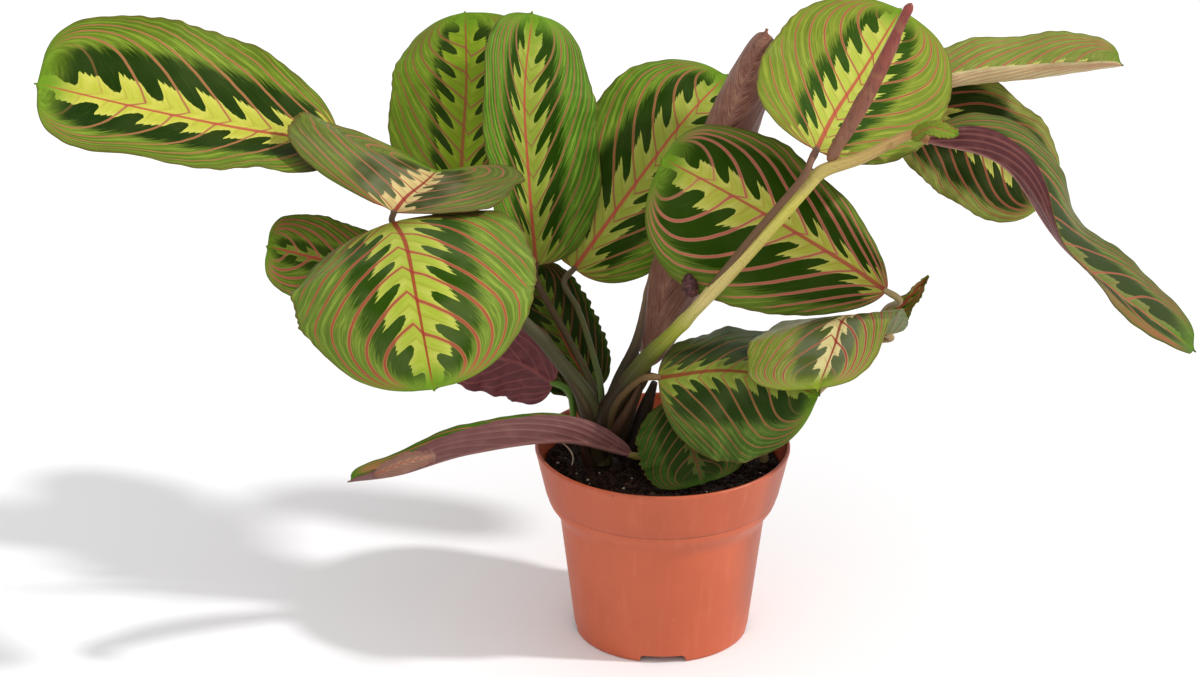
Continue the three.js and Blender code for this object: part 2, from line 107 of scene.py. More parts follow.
# A material's node tree, and the few ways it is wired here
class Bench:
    def __init__(self, name):
        self.material = bpy.data.materials.new(name)
        self.material.use_nodes = True
        self.tree = self.material.node_tree
        self.tree.nodes.clear()
        self.output = self.tree.nodes.new("ShaderNodeOutputMaterial")

    # values fill the sockets in order, named ones by name; "stops" sets a ramp
    def add(self, kind, settings=None, values=(), named=None, out=0):
        made = self.tree.nodes.new(kind)
        for key, value in (settings or {}).items():
            if key == "stops":
                self.setStops(made.color_ramp, value)
            else:
                setattr(made, key, value)
        for socket, value in zip(made.inputs, values):
            self.plug(value, socket)
        for key, value in (named or {}).items():
            self.plug(value, made.inputs[key])
        return Wire(self, made.outputs[out])

    def plug(self, value, socket):
        if isinstance(value, Wire):
            self.tree.links.new(value.socket, socket)
        elif value is not None:
            socket.default_value = value

    def setStops(self, ramp, stops):
        while len(ramp.elements) < len(stops):
            ramp.elements.new(0.5)
        for element, (place, colour) in zip(ramp.elements, stops):
            element.position = place
            element.color = colour if len(colour) == 4 else (*colour, 1)

    # a curve of heights between 0 and 1 over a value between 0 and 1
    def profile(self, value, points):
        stops = [(place, (height, height, height)) for place, height in points]
        return self.add("ShaderNodeValToRGB", {"stops": stops}, [value])

    def step(self, value, low, high):
        settings = {"interpolation_type": "SMOOTHSTEP"}
        return self.add("ShaderNodeMapRange", settings, [value, low, high, 0.0, 1.0])

    def fall(self, value, low, high):
        return 1.0 - self.step(value, low, high)

    def stretched(self, vector, scale):
        return self.add("ShaderNodeMapping", None, (), {"Vector": vector, "Scale": scale})

    def blend(self, factor, first, second, mode="MIX"):
        made = self.tree.nodes.new("ShaderNodeMix")
        made.data_type = "RGBA"
        made.blend_type = mode
        for value, place in ((factor, 0), (first, 6), (second, 7)):
            if isinstance(value, (tuple, list)) and len(value) == 3:
                value = (*value, 1)
            self.plug(value, made.inputs[place])
        return Wire(self, made.outputs[2])

    def vector(self, x, y, z=0.0):
        return self.add("ShaderNodeCombineXYZ", None, [x, y, z])

    def parts(self, vector):
        made = self.tree.nodes.new("ShaderNodeSeparateXYZ")
        self.plug(vector, made.inputs[0])
        return [Wire(self, socket) for socket in made.outputs]

    def noise(self, vector, scale, detail=2.0, roughness=0.5):
        named = {"Vector": vector, "Scale": scale, "Detail": detail, "Roughness": roughness}
        return self.add("ShaderNodeTexNoise", None, (), named)

    def uv(self, name):
        return self.add("ShaderNodeUVMap", {"uv_map": name})

    def attribute(self, name):
        return self.add("ShaderNodeAttribute", {"attribute_name": name}, out=2)

    def place(self):
        return self.add("ShaderNodeTexCoord", out=3)

    def finish(self, constants, colour, roughness, bump=None, distance=0.0003, strength=0.6):
        shader = self.tree.nodes.new("ShaderNodeBsdfPrincipled")
        for key, value in constants.items():
            shader.inputs[key].default_value = value
        if isinstance(colour, (tuple, list)) and len(colour) == 3:
            colour = (*colour, 1)
        self.plug(colour, shader.inputs["Base Color"])
        self.plug(roughness, shader.inputs["Roughness"])
        if bump is not None:
            normal = self.add("ShaderNodeBump", None, (), {
                "Height": bump, "Distance": distance, "Strength": strength})
            self.plug(normal, shader.inputs["Normal"])
        self.tree.links.new(shader.outputs[0], self.output.inputs[0])
        return self.material


# A colour as seen on screen, 0 to 255, turned to the linear values that shaders use
def screen(red, green, blue):
    def linear(value):
        value /= 255
        return value / 12.92 if value <= 0.04045 else ((value + 0.055) / 1.055) ** 2.4

    return (linear(red), linear(green), linear(blue))


def tones(look):
    return {key: screen(*value) for key, value in look.items() if isinstance(value, tuple)}


def makeObject(name, mesh, materials, node=None, smooth=True):
    thing = bpy.data.objects.new(name, mesh)
    bpy.context.scene.collection.objects.link(thing)
    for material in materials:
        mesh.materials.append(material)
    if smooth:
        mesh.polygons.foreach_set("use_smooth", [True] * len(mesh.polygons))
    if node:
        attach(thing, "root")
        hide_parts(node)
    return thing


# Uniform Catmull-Rom through the points, read at shares of its length
def smoothPath(points, shares):
    spots = np.array(points, float)
    last = len(spots) - 1

    def at(times):
        places = np.clip(np.asarray(times) * last, 0, last)
        index = np.minimum(places.astype(int), last - 1)
        t = (places - index)[:, None]
        before = np.where((index > 0)[:, None], spots[np.maximum(index - 1, 0)], 2 * spots[0] - spots[1])
        after = np.where((index + 2 <= last)[:, None], spots[np.minimum(index + 2, last)],
                         2 * spots[last] - spots[last - 1])
        start, end = spots[index], spots[index + 1]
        lead, trail = (end - before) / 2, (after - start) / 2
        return (start + lead * t + (3 * (end - start) - 2 * lead - trail) * t ** 2
                + (2 * (start - end) + lead + trail) * t ** 3)

    times = np.linspace(0, 1, 201)
    steps = np.linalg.norm(np.diff(at(times), axis=0), axis=1)
    reach = np.concatenate([[0], np.cumsum(steps)])
    return at(np.interp(np.asarray(shares) * reach[-1], reach, times)), reach[-1]


def unit(vectors):
    return vectors / np.linalg.norm(vectors, axis=-1, keepdims=True)


# The blades' shapes, as in the CAD
leafShapes = {
    "leaf_far_left": {
        "midrib": [[-152, 48, 228], [-189, 25, 241], [-233, 4, 258], [-283, -5, 274]],
        "facing": [[0.05, -0.62, 0.8], [0, -0.6, 0.8]],
        "width": 88, "widest": 0.6, "fullness": [2.1, 3.4], "skew": 0.0,
        "fold": [25, 25, 12], "left": [0, 5, 15], "right": [-5, -5, -30],
        "wave": [1.6, 3, 0.1, 0.4],
    },
    "leaf_saddle": {
        "midrib": [[-122, -21, 218], [-117, -9, 221], [-110, 10, 221], [-105, 33, 219]],
        "facing": [[0.05, -0.45, 0.9], [0.05, -0.1, 1]],
        "width": 116, "widest": 0.45, "fullness": [2.4, 2.4], "skew": -0.155,
        "fold": [16, 15, 10], "left": [-20, 0, 28], "right": [5, 0, 6],
        "wave": [2.5, 2, 0.0, 0.4],
    },
    "leaf_front_round": {
        "midrib": [[-122, -25, 215], [-115, -50, 213], [-109, -80, 199], [-102, -88, 159]],
        "facing": [[0, -0.55, 0.83], [0.0, -0.9, 0.43]],
        "width": 112, "widest": 0.42, "fullness": [3.4, 2.3], "skew": 0.0,
        "fold": [0, 0, 0], "left": [-12, -28, -15], "right": [-20, -28, -15],
        "wave": [1.2, 3, 0.1, 0.4],
    },
    "leaf_behind_round": {
        "midrib": [[-123, 15, 169], [-154, 5, 184], [-182, -5, 196]],
        "facing": [[0, -0.7, 0.7], [0, -0.8, 0.6]],
        "width": 42, "widest": 0.55, "fullness": [2.6, 3.0], "skew": 0.0,
        "fold": [5, 5, 0], "left": [-20, -20, -30], "right": [-10, -10, -30],
        "wave": [1.0, 3, 0.1, 0.4],
    },
    "leaf_tall_left": {
        "midrib": [[-96, 62, 190], [-95, 70, 215], [-93, 82, 246], [-94, 104, 275]],
        "facing": [[-0.1, -0.85, 0.5], [-0.1, -0.85, 0.5]],
        "width": 74, "widest": 0.56, "fullness": [2.5, 2.7], "skew": 0.0,
        "fold": [10, 8, 0], "left": [-15, -20, -40], "right": [-10, -10, -10],
        "wave": [1.2, 3, 0.1, 0.4],
    },
    "leaf_tall_centre": {
        "midrib": [[-60, 47, 166], [-63, 56, 203], [-65, 64, 246], [-61, 80, 282]],
        "facing": [[0.5, -0.8, 0.2], [0.5, -0.8, 0.4]],
        "width": 66, "widest": 0.52, "fullness": [2.6, 3.0], "skew": 0.12,
        "fold": [22, 19, 10], "left": [0, 5, 0], "right": [-15, -20, -40],
        "wave": [1.2, 3, 0.1, 0.4],
    },
    "leaf_fan_right": {
        "midrib": [[-42, 52, 162], [-10, 74, 201], [13, 92, 226], [33, 114, 240]],
        "facing": [[-0.1, -0.9, 0.45], [-0.1, -0.8, 0.6]],
        "width": 79, "widest": 0.54, "fullness": [2.5, 2.5], "skew": 0.0,
        "fold": [14, 10, 5], "left": [-10, -10, -20], "right": [-10, -15, -30],
        "wave": [2, 3, 0.1, 0.4],
    },
    "leaf_rolled_back": {
        "midrib": [[-7, 12, 129], [6, 22, 174], [30, 35, 238], [48, 49, 283]],
        "facing": [[0.15, 0.9, -0.2], [0.15, 0.9, -0.2]],
        "width": 60, "widest": 0.62, "fullness": [2.0, 3.0], "skew": 0.0,
        "fold": [20, 20, 30], "left": [60, 80, 90], "right": [60, 80, 90],
        "wave": [0.5, 3, 0.1, 0.4],
    },
    "leaf_right_centre": {
        "midrib": [[103, 4, 170], [82, 4, 185], [39, 5, 212], [-2, 12, 233]],
        "facing": [[0.1, -0.8, 0.6], [-0.15, -0.8, 0.6]],
        "width": 82, "widest": 0.65, "fullness": [1.6, 2.5], "skew": -0.16,
        "fold": [9, 6, 0], "left": [-16, -26, -45], "right": [-15, -20, -40],
        "wave": [1.5, 3, 0.1, 0.4],
    },
    "leaf_top_round": {
        "midrib": [[67, -20, 247], [77, 8, 255], [93, 42, 266], [112, 72, 286]],
        "facing": [[0.2, -0.6, 0.77], [0.15, -0.6, 0.77]],
        "width": 86, "widest": 0.54, "fullness": [2.3, 2.6], "skew": 0.0,
        "fold": [8, 6, 0], "left": [-15, -15, -15], "right": [-15, -15, -15],
        "wave": [1, 3, 0.1, 0.4],
    },
    "leaf_right_top": {
        "midrib": [[113, 54, 247], [139, 58, 253], [177, 60, 256], [215, 56, 263]],
        "facing": [[0, -0.15, 0.98], [0, -0.15, 0.98]],
        "width": 46, "widest": 0.58, "fullness": [2.2, 2.8], "skew": -0.5,
        "fold": [12, 12, 12], "left": [-5, -5, -10], "right": [110, 110, 60],
        "wave": [1.0, 3, 0.1, 0.4],
    },
    "leaf_right_dark": {
        "midrib": [[114, 76, 238], [137, 73, 227], [153, 69, 218], [185, 58, 197]],
        "facing": [[0.1, -0.75, 0.66], [0.3, -0.75, 0.6]],
        "width": 66, "widest": 0.5, "fullness": [2.5, 2.7], "skew": 0.0,
        "fold": [5, 5, 0], "left": [-10, -15, -30], "right": [-10, -10, -10],
        "wave": [1.5, 3, 0.1, 0.4],
    },
    "leaf_long_drooping": {
        "midrib": [[116, -20, 252], [150, -34, 245], [180, -44, 207], [238, -50, 162]],
        "facing": [[0.15, 0.15, 0.97], [0.6, -0.25, 0.7]],
        "width": 56, "widest": 0.42, "fullness": [2.1, 3.0], "skew": -0.42,
        "fold": [40, 12, 5], "left": [-10, -10, -5], "right": [170, 15, -10],
        "wave": [1.6, 3, 0.1, 0.4],
    },
    "leaf_lower_right": {
        "midrib": [[105, 20, 142], [93, -2, 160], [81, -30, 170], [75, -54, 166], [66, -80, 156]],
        "facing": [[-0.1, 0.12, 0.97], [-0.48, -0.5, 0.72]],
        "width": 68, "widest": 0.66, "fullness": [2.3, 2.8], "skew": 0.3,
        "fold": [0, 0, 0], "left": [0, -5, 0], "right": [0, -8, 0],
        "wave": [1.5, 3, 0.1, 0.4],
    },
    "leaf_lower_fold": {
        "midrib": [[-3, -25, 139], [25, -28, 144], [48, -31, 142], [71, -37, 135]],
        "facing": [[0, -0.62, 0.78], [0, -0.62, 0.78]],
        "width": 86, "widest": 0.45, "fullness": [2.6, 2.6], "skew": -0.02,
        "fold": [-25, -25, -10], "left": [-18, -18, -10], "right": [-15, -15, -30],
        "wave": [1.5, 3, 0.1, 0.4],
    },
    "leaf_over_soil": {
        "midrib": [[5, -12, 123], [12, -26, 108], [18, -36, 90]],
        "facing": [[-0.2, -0.7, 0.7], [-0.1, -0.7, 0.7]],
        "width": 50, "widest": 0.55, "fullness": [2.4, 3.2], "skew": 0.0,
        "fold": [5, 0, 0], "left": [-10, -10, -10], "right": [-10, -10, -10],
        "wave": [1.5, 3, 0.1, 0.4],
    },
    "leaf_lower_left": {
        "midrib": [[-15, -14, 95], [-48, -26, 108], [-89, -40, 108], [-120, -50, 102], [-144, -58, 102]],
        "facing": [[0, 0.2, 0.97], [0, 0.1, 0.97]],
        "width": 29, "widest": 0.5, "fullness": [2.0, 2.7], "skew": 0.0,
        "fold": [50, 45, 20], "left": [50, 60, 30], "right": [30, 10, 0],
        "wave": [1.0, 3, 0.1, 0.4],
    },
    "leaf_underside": {
        "midrib": [[-51, 10, 121], [-71, 17, 130], [-110, 20, 134]],
        "facing": [[0.1, 0.95, 0.3], [0.1, 0.95, 0.3]],
        "width": 48, "widest": 0.4, "fullness": [2.8, 2.4], "skew": 0.0,
        "fold": [5, 5, 5], "left": [-10, -10, -10], "right": [-10, -10, -10],
        "wave": [1.2, 5, 0.1, 0.4],
    },
    "leaf_centre_dark": {
        "midrib": [[-32, 18, 114], [-46, 36, 132], [-63, 58, 164]],
        "facing": [[0.15, -0.85, 0.5], [0.15, -0.85, 0.5]],
        "width": 44, "widest": 0.5, "fullness": [2.4, 2.4], "skew": -0.15,
        "fold": [10, 10, 5], "left": [-10, -10, -10], "right": [-10, -10, -10],
        "wave": [0.8, 6, 0.1, 0.4],
    },
    "leaf_curled_tail": {
        "midrib": [[100, 34, 135], [113, 33, 151], [125, 29, 168]],
        "facing": [[0.3, -0.8, 0.5], [0.3, -0.8, 0.5]],
        "width": 15, "widest": 0.34, "fullness": [2.0, 1.7], "skew": 0.0,
        "fold": [30, 30, 40], "left": [30, 30, 40], "right": [30, 30, 60],
        "wave": [0.8, 3, 0.1, 0.4],
    },
}

# How fine the blades are, and what all of them share. The rows stand closer together near both ends.
bladeBuild = {
    "rows": 110, "columns": 32, "endGap": 0.002, "evenRows": 0.3, "columnPower": 0.9, "thickness": 0.5,
    "stalkHalf": 1.3, "tipHalf": 0.3, "tipFrom": 0.985, "tipStart": 0.93, "tipTaper": 50, "edge": 0.008,
    "leastCurl": 1e-4, "pleat": 0.45, "crinkle": 0.35, "ribDepth": 0.8, "ribHalf": 1.1, "ribStart": 0.25,
    "valleyDepth": 0.35, "valleyHalf": 1.2, "widestSpacing": 60,
}
# Side veins: how many leave the midrib over its length, how fast their reach across the blade shrinks
# towards the tip, how sharply they turn along the margin, and how far the two sides stand apart
veinBuild = {"pairs": 7.0, "shrink": 0.75, "bend": 2.4, "stagger": 0.45}
leafVeins = {
    "leaf_far_left": {"shrink": 0.5, "bend": 3.0},
    "leaf_saddle": {"pairs": 5.2, "shrink": 0.6, "bend": 2.2},
    "leaf_front_round": {"pairs": 6.8, "bend": 2.2},
    "leaf_behind_round": {"pairs": 6.0},
    "leaf_tall_left": {"pairs": 7.5, "shrink": 0.6},
    "leaf_tall_centre": {"pairs": 8.0, "shrink": 0.85, "bend": 2.2},
    "leaf_fan_right": {"pairs": 7.4},
    "leaf_right_centre": {"pairs": 7.2, "shrink": 0.6, "bend": 2.6},
    "leaf_curled_tail": {"pairs": 5.0},
    "leaf_long_drooping": {"pairs": 8.0, "shrink": 0.5, "bend": 3.0},
    "leaf_right_top": {"pairs": 8.0, "shrink": 0.6, "bend": 2.6},
}
# How far the margins wander in and out, as a share of the half width
leafEdges = {
    "leaf_centre_dark": 0.05, "leaf_curled_tail": 0.06, "leaf_over_soil": 0.035, "leaf_far_left": 0.012,
}


def alongLeaf(values, u):
    stalk, middle, tip = values
    return stalk * (1 - u) * (1 - 2 * u) + middle * 4 * u * (1 - u) + tip * u * (2 * u - 1)


def halfWidth(leaf, u, side):
    s = np.minimum(u / bladeBuild["tipFrom"], 1)
    before = s < leaf["widest"]
    away = (s - leaf["widest"]) / np.where(before, leaf["widest"], 1 - leaf["widest"])
    power = np.where(before, *leaf["fullness"])
    outline = np.maximum(0, 1 - np.abs(away) ** power) ** (1 / power)
    half = leaf["width"] / 2 * (1 + side * leaf["skew"]) * outline
    tip = np.maximum((1 - u) * bladeBuild["tipTaper"], bladeBuild["tipHalf"])
    return np.maximum(half, np.where(u < bladeBuild["tipStart"], bladeBuild["stalkHalf"], tip))


# Where on the midrib, as a share of its length, the side vein through each point starts, found by halving
def veinStarts(veins, u, share):
    low, high = np.full(u.shape, -2.0), np.minimum(u, 0.9999)
    for _ in range(34):
        start = (low + high) / 2
        gone = (u - start) / (1 - start)
        reach = (1.08 - veins["shrink"] * start) * (1 - (1 - gone) ** veins["bend"])
        tooFar = reach < share
        high = np.where(tooFar, start, high)
        low = np.where(tooFar, low, start)
    return (low + high) / 2


# Millimetres from one side vein to the next, square to them
def veinSpacing(points, phase):
    alongStep, acrossStep = np.gradient(points, axis=0), np.gradient(points, axis=1)
    ee = np.sum(alongStep * alongStep, -1)
    ff = np.sum(alongStep * acrossStep, -1)
    gg = np.sum(acrossStep * acrossStep, -1)
    middle = phase.shape[1] // 2
    pa = np.gradient(phase, axis=0)
    halves = (phase[:, :middle], phase[:, middle:])
    pb = np.concatenate([np.gradient(half, axis=1) for half in halves], axis=1)
    slope = (gg * pa ** 2 - 2 * ff * pa * pb + ee * pb ** 2) / np.maximum(ee * gg - ff ** 2, 1e-9)
    return 1 / np.sqrt(np.maximum(slope, 1e-6))


# A closed blade from its upper and lower face, with the maps that its materials read
def skinMesh(name, upper, lower, maps):
    index = np.arange(upper.size // 3).reshape(upper.shape[:2])
    top = np.stack([index[:-1, :-1], index[:-1, 1:], index[1:, 1:], index[1:, :-1]], -1).reshape(-1, 4)
    under = top[:, ::-1] + index.size
    loop = np.concatenate([index[0, :-1], index[:-1, -1], index[-1, :0:-1], index[:0:-1, 0]])
    following = np.roll(loop, -1)
    edge = np.stack([loop, loop + index.size, following + index.size, following], -1)
    faces = np.concatenate([top, under, edge])
    points = np.concatenate([upper.reshape(-1, 3), lower.reshape(-1, 3)]) * mm
    mesh = bpy.data.meshes.new(name)
    mesh.from_pydata(points.tolist(), [], faces.tolist())
    kinds = np.concatenate([np.zeros(len(top)), np.ones(len(under)), np.zeros(len(edge))]).astype(int)
    mesh.polygons.foreach_set("material_index", kinds)
    corners = faces.reshape(-1) % index.size
    for title, (first, second) in maps.items():
        layer = mesh.uv_layers.new(name=title)
        both = np.stack([first.reshape(-1), second.reshape(-1)], -1)
        layer.data.foreach_set("uv", both[corners].reshape(-1))
    mesh.update()
    return mesh


def bladeMesh(name, node, leaf):
    build = bladeBuild
    even = np.arange(build["rows"] + 1) / build["rows"]
    rounded = (1 - build["evenRows"]) / 2 * (1 - np.cos(np.pi * even))
    u = build["endGap"] + (1 - 2 * build["endGap"]) * (build["evenRows"] * even + rounded)
    steps = np.arange(2 * build["columns"] + 1) - build["columns"]
    v = np.sign(steps) * np.sin(np.abs(steps) / build["columns"] * np.pi / 2) ** build["columnPower"]
    mid, length = smoothPath(leaf["midrib"], u)
    ahead, _ = smoothPath(leaf["midrib"], np.minimum(u + build["endGap"], 1))
    behind, _ = smoothPath(leaf["midrib"], np.maximum(u - build["endGap"], 0))
    way = unit(ahead - behind)
    facing = np.array(leaf["facing"], float)
    face = facing[0] * (1 - u[:, None]) + facing[1] * u[:, None]
    up = unit(face - way * np.sum(face * way, axis=1, keepdims=True))
    right = np.cross(way, up)
    uu, vv = np.meshgrid(u, v, indexing="ij")
    side = np.where(vv < 0, -1.0, 1.0)
    share = np.abs(vv)

    # the margin: its half width, small notches, the fold at the midrib and the curl of each half
    half = np.where(vv < 0, halfWidth(leaf, uu, -1.0), halfWidth(leaf, uu, 1.0))
    notch = np.sin(uu * 96 + 2 * side) * 0.6 + np.sin(uu * 43 + side) * 0.4
    notchSize = leafEdges.get(node, build["edge"]) * np.sin(np.pi * uu) ** 0.5 * share ** 6
    half = half * (1 + notchSize * notch)
    fold = np.radians(alongLeaf(leaf["fold"], uu))
    curl = np.radians(np.where(vv < 0, alongLeaf(leaf["left"], uu), alongLeaf(leaf["right"], uu)))
    curl = np.where(np.abs(curl) < build["leastCurl"], build["leastCurl"], curl)
    angle = fold + curl * share
    out = half * (np.sin(angle) - np.sin(fold)) / curl
    rise = half * (np.cos(fold) - np.cos(angle)) / curl
    height, count, startLeft, startRight = leaf["wave"]
    turn = count * uu + np.where(vv < 0, startLeft, startRight)
    wave = height * share ** 2 * np.sqrt(np.sin(np.pi * uu)) * np.sin(2 * np.pi * turn)
    wave = wave + build["crinkle"] * share ** 4 * np.sin(uu * 61 + 3 * side) * np.sin(uu * 23 + side)
    middle = (mid[:, None] + right[:, None] * (side * (out - wave * np.sin(angle)))[..., None]
              + up[:, None] * (rise + wave * np.cos(angle))[..., None])
    normal = unit(np.cross(np.gradient(middle, axis=1), np.gradient(middle, axis=0)))

    # pleats between the side veins, a valley over the midrib and a rib under it
    veins = {**veinBuild, **leafVeins.get(node, {})}
    phase = veinStarts(veins, uu, share) * veins["pairs"] + veins["stagger"] * (vv > 0)
    gap = np.abs(phase - np.round(phase)) * 2
    fade = np.clip((1 - share) / 0.25, 0, 1) * np.clip(share / 0.08, 0, 1) * np.sin(np.pi * uu) ** 0.4
    pleat = build["pleat"] * (np.sqrt(gap + 0.01) - 0.6) * fade
    across = share * half
    spacing = veinSpacing(middle, phase)
    valley = -build["valleyDepth"] * np.exp(-((across / build["valleyHalf"]) ** 2))
    middle = middle + normal * (pleat + valley)[..., None]
    ribAlong = np.sin(np.pi * np.minimum(uu + build["ribStart"], 1))
    rib = build["ribDepth"] * np.exp(-((across / build["ribHalf"]) ** 2)) * ribAlong
    thin = build["thickness"] / 2
    return skinMesh(name, middle + normal * thin, middle - normal * (thin + rib)[..., None], {
        "share": (uu, (vv + 1) / 2),
        "flat": (uu * length / 100, side * across / 100),
        "veins": (phase, np.clip(spacing, 0, build["widestSpacing"]) / 100),
    })


# Colours of the blades, as on screen, and where their pattern lies; sheen is a painted reflection over the
# dark blotches and baseShade a painted shade near the stalk; a leaf's own entries go over these
leafLook = {
    "band": (162, 170, 52), "bandPale": (190, 190, 86), "dark": (24, 54, 0), "sheen": (86, 98, 56),
    "sheenShare": 0.1, "green": (76, 108, 26), "streak": (134, 158, 52), "streaks": 0.9,
    "vein": (166, 78, 66), "veinEdge": (194, 134, 96), "midrib": (172, 72, 60), "rim": (96, 62, 38),
    "bandHalf": 1.0, "veinHalf": 0.5, "outer": 0.6, "feather": 0.5, "tipGreen": (100, 136, 32),
    "under": (96, 42, 50), "underVein": (150, 92, 84), "underRib": 0.7, "underStripes": 0.15, "rough": 0.45,
    "midribHalf": 1.0, "baseShade": 0.25, "underVeins": 0.5,
}
leafLooks = {
    "leaf_far_left": {
        "outer": 0.66, "dark": (14, 42, 0), "green": (84, 104, 26), "band": (174, 176, 60),
        "bandPale": (198, 194, 90), "vein": (156, 92, 64), "veinEdge": (176, 132, 82),
    },
    "leaf_saddle": {
        "band": (186, 164, 104), "bandPale": (206, 184, 128), "dark": (54, 62, 20), "green": (92, 100, 46),
        "sheen": (120, 122, 92), "sheenShare": 0.6, "vein": (152, 70, 58), "veinEdge": (180, 138, 100),
        "midrib": (138, 30, 32), "outer": 0.5, "bandHalf": 0.52, "streaks": 0.4, "under": (122, 60, 42),
    },
    "leaf_front_round": {
        "dark": (34, 64, 2), "green": (94, 116, 42), "streak": (148, 168, 66), "streaks": 0.65,
        "band": (150, 166, 50), "bandPale": (182, 184, 86), "vein": (150, 68, 54),
        "veinEdge": (184, 118, 76), "midrib": (146, 48, 40), "outer": 0.56, "sheenShare": 0.45,
        "baseShade": 0.8, "veinHalf": 0.7,
    },
    "leaf_behind_round": {
        "dark": (44, 68, 14), "outer": 0.38, "band": (104, 128, 40), "bandPale": (128, 144, 56),
        "bandHalf": 0.6, "green": (86, 108, 36),
    },
    "leaf_tall_left": {
        "band": (110, 138, 26), "bandPale": (142, 158, 46), "outer": 0.48, "bandHalf": 1.15,
        "dark": (26, 50, 4), "green": (96, 124, 30), "streak": (134, 154, 52), "vein": (134, 80, 54),
        "veinEdge": (142, 120, 60), "midrib": (140, 80, 48),
    },
    "leaf_tall_centre": {
        "band": (130, 148, 46), "bandPale": (162, 168, 76), "outer": 0.54, "streaks": 1.0,
        "green": (66, 104, 26), "streak": (124, 158, 52), "feather": 0.8, "vein": (140, 88, 62),
        "veinEdge": (150, 130, 70), "veinHalf": 0.42,
    },
    "leaf_fan_right": {
        "outer": 0.62, "dark": (20, 48, 0), "band": (140, 152, 54), "bandPale": (164, 166, 78),
        "vein": (144, 84, 58), "veinEdge": (158, 124, 70),
    },
    "leaf_rolled_back": {
        "under": (138, 86, 72), "underVein": (182, 144, 116), "underStripes": 0.8, "underRib": 0.0,
        "underVeins": 0.12,
    },
    "leaf_right_centre": {
        "outer": 0.82, "dark": (30, 58, 0), "green": (78, 102, 32), "streak": (120, 138, 52),
        "band": (168, 172, 60), "bandPale": (198, 194, 100), "vein": (176, 88, 76),
        "veinEdge": (202, 146, 112), "midrib": (172, 80, 64), "veinHalf": 0.62,
    },
    "leaf_top_round": {
        "band": (162, 174, 64), "bandPale": (186, 186, 88), "outer": 0.5, "dark": (34, 66, 4),
        "green": (110, 126, 40), "streak": (148, 158, 56), "vein": (152, 78, 58),
        "veinEdge": (180, 132, 82),
    },
    "leaf_right_top": {
        "green": (118, 132, 50), "streak": (156, 158, 84), "band": (196, 184, 118), "outer": 0.28,
        "dark": (80, 98, 20), "vein": (166, 82, 66), "under": (222, 204, 148), "underVein": (176, 104, 84),
        "underRib": 0.3,
    },
    "leaf_right_dark": {
        "outer": 0.82, "dark": (16, 34, 2), "green": (100, 112, 44), "streak": (146, 142, 74),
        "band": (140, 138, 72), "vein": (130, 64, 50), "veinEdge": (144, 94, 62),
    },
    "leaf_long_drooping": {
        "outer": 0.62, "green": (68, 82, 28), "streak": (112, 124, 50), "dark": (42, 56, 16),
        "sheenShare": 0.0, "band": (90, 104, 40), "bandPale": (118, 116, 62), "under": (98, 46, 50),
        "bandHalf": 0.7, "vein": (150, 70, 58), "veinEdge": (150, 110, 72), "tipGreen": (76, 114, 30),
    },
    "leaf_lower_right": {
        "band": (214, 202, 134), "bandPale": (230, 214, 156), "outer": 0.5, "green": (122, 138, 46),
        "streak": (168, 162, 98), "midrib": (150, 50, 44), "dark": (78, 90, 40), "sheen": (112, 118, 92),
        "sheenShare": 0.8, "bandHalf": 0.6, "vein": (158, 56, 52), "veinEdge": (212, 172, 130),
        "veinHalf": 0.55, "tipGreen": (134, 156, 44), "under": (104, 126, 40), "underVein": (140, 112, 62),
    },
    "leaf_lower_fold": {
        "outer": 0.62, "band": (104, 122, 40), "bandPale": (138, 146, 64), "bandHalf": 0.7,
        "green": (62, 86, 34), "streak": (104, 124, 54), "dark": (30, 50, 16), "sheenShare": 0.4,
        "midrib": (120, 52, 36), "vein": (136, 80, 54), "veinEdge": (140, 116, 66), "veinHalf": 0.4,
    },
    "leaf_over_soil": {
        "band": (66, 82, 34), "bandPale": (80, 92, 44), "bandHalf": 0.5, "green": (46, 74, 22),
        "streak": (68, 96, 36), "dark": (26, 48, 10), "streaks": 0.5, "veinHalf": 0.35,
        "vein": (108, 70, 46), "veinEdge": (84, 82, 44), "midrib": (104, 66, 44), "tipGreen": (54, 82, 26),
    },
    "leaf_lower_left": {
        "green": (66, 102, 28), "streaks": 0.3, "dark": (32, 58, 14), "under": (116, 70, 68),
        "underVein": (142, 98, 90), "underVeins": 0.25, "veinHalf": 0.4, "tipGreen": (66, 102, 24),
    },
    "leaf_underside": {
        "under": (104, 44, 50), "underVein": (156, 84, 80), "underRib": 0.4, "underVeins": 0.35,
    },
    "leaf_centre_dark": {
        "outer": 0.95, "dark": (20, 38, 8), "green": (38, 66, 14), "streak": (58, 86, 20),
        "band": (74, 100, 24), "bandPale": (106, 120, 44), "bandHalf": 0.9, "veinHalf": 0.4,
        "vein": (104, 58, 42), "veinEdge": (84, 72, 36), "rim": (90, 46, 40),
    },
    "leaf_curled_tail": {"green": (80, 116, 36), "outer": 0.3, "band": (130, 138, 64), "veinHalf": 0.35},
}


# What both faces read: shares along and across the blade, its flat map, and its side veins
def leafPlaces(bench):
    u, across, _ = bench.parts(bench.uv("share"))
    flat = bench.uv("flat")
    toMidrib = abs(bench.parts(flat)[1]) * 100.0
    phase, spacing, _ = bench.parts(bench.uv("veins"))
    return u, abs(across * 2.0 - 1.0), flat, toMidrib, phase, spacing


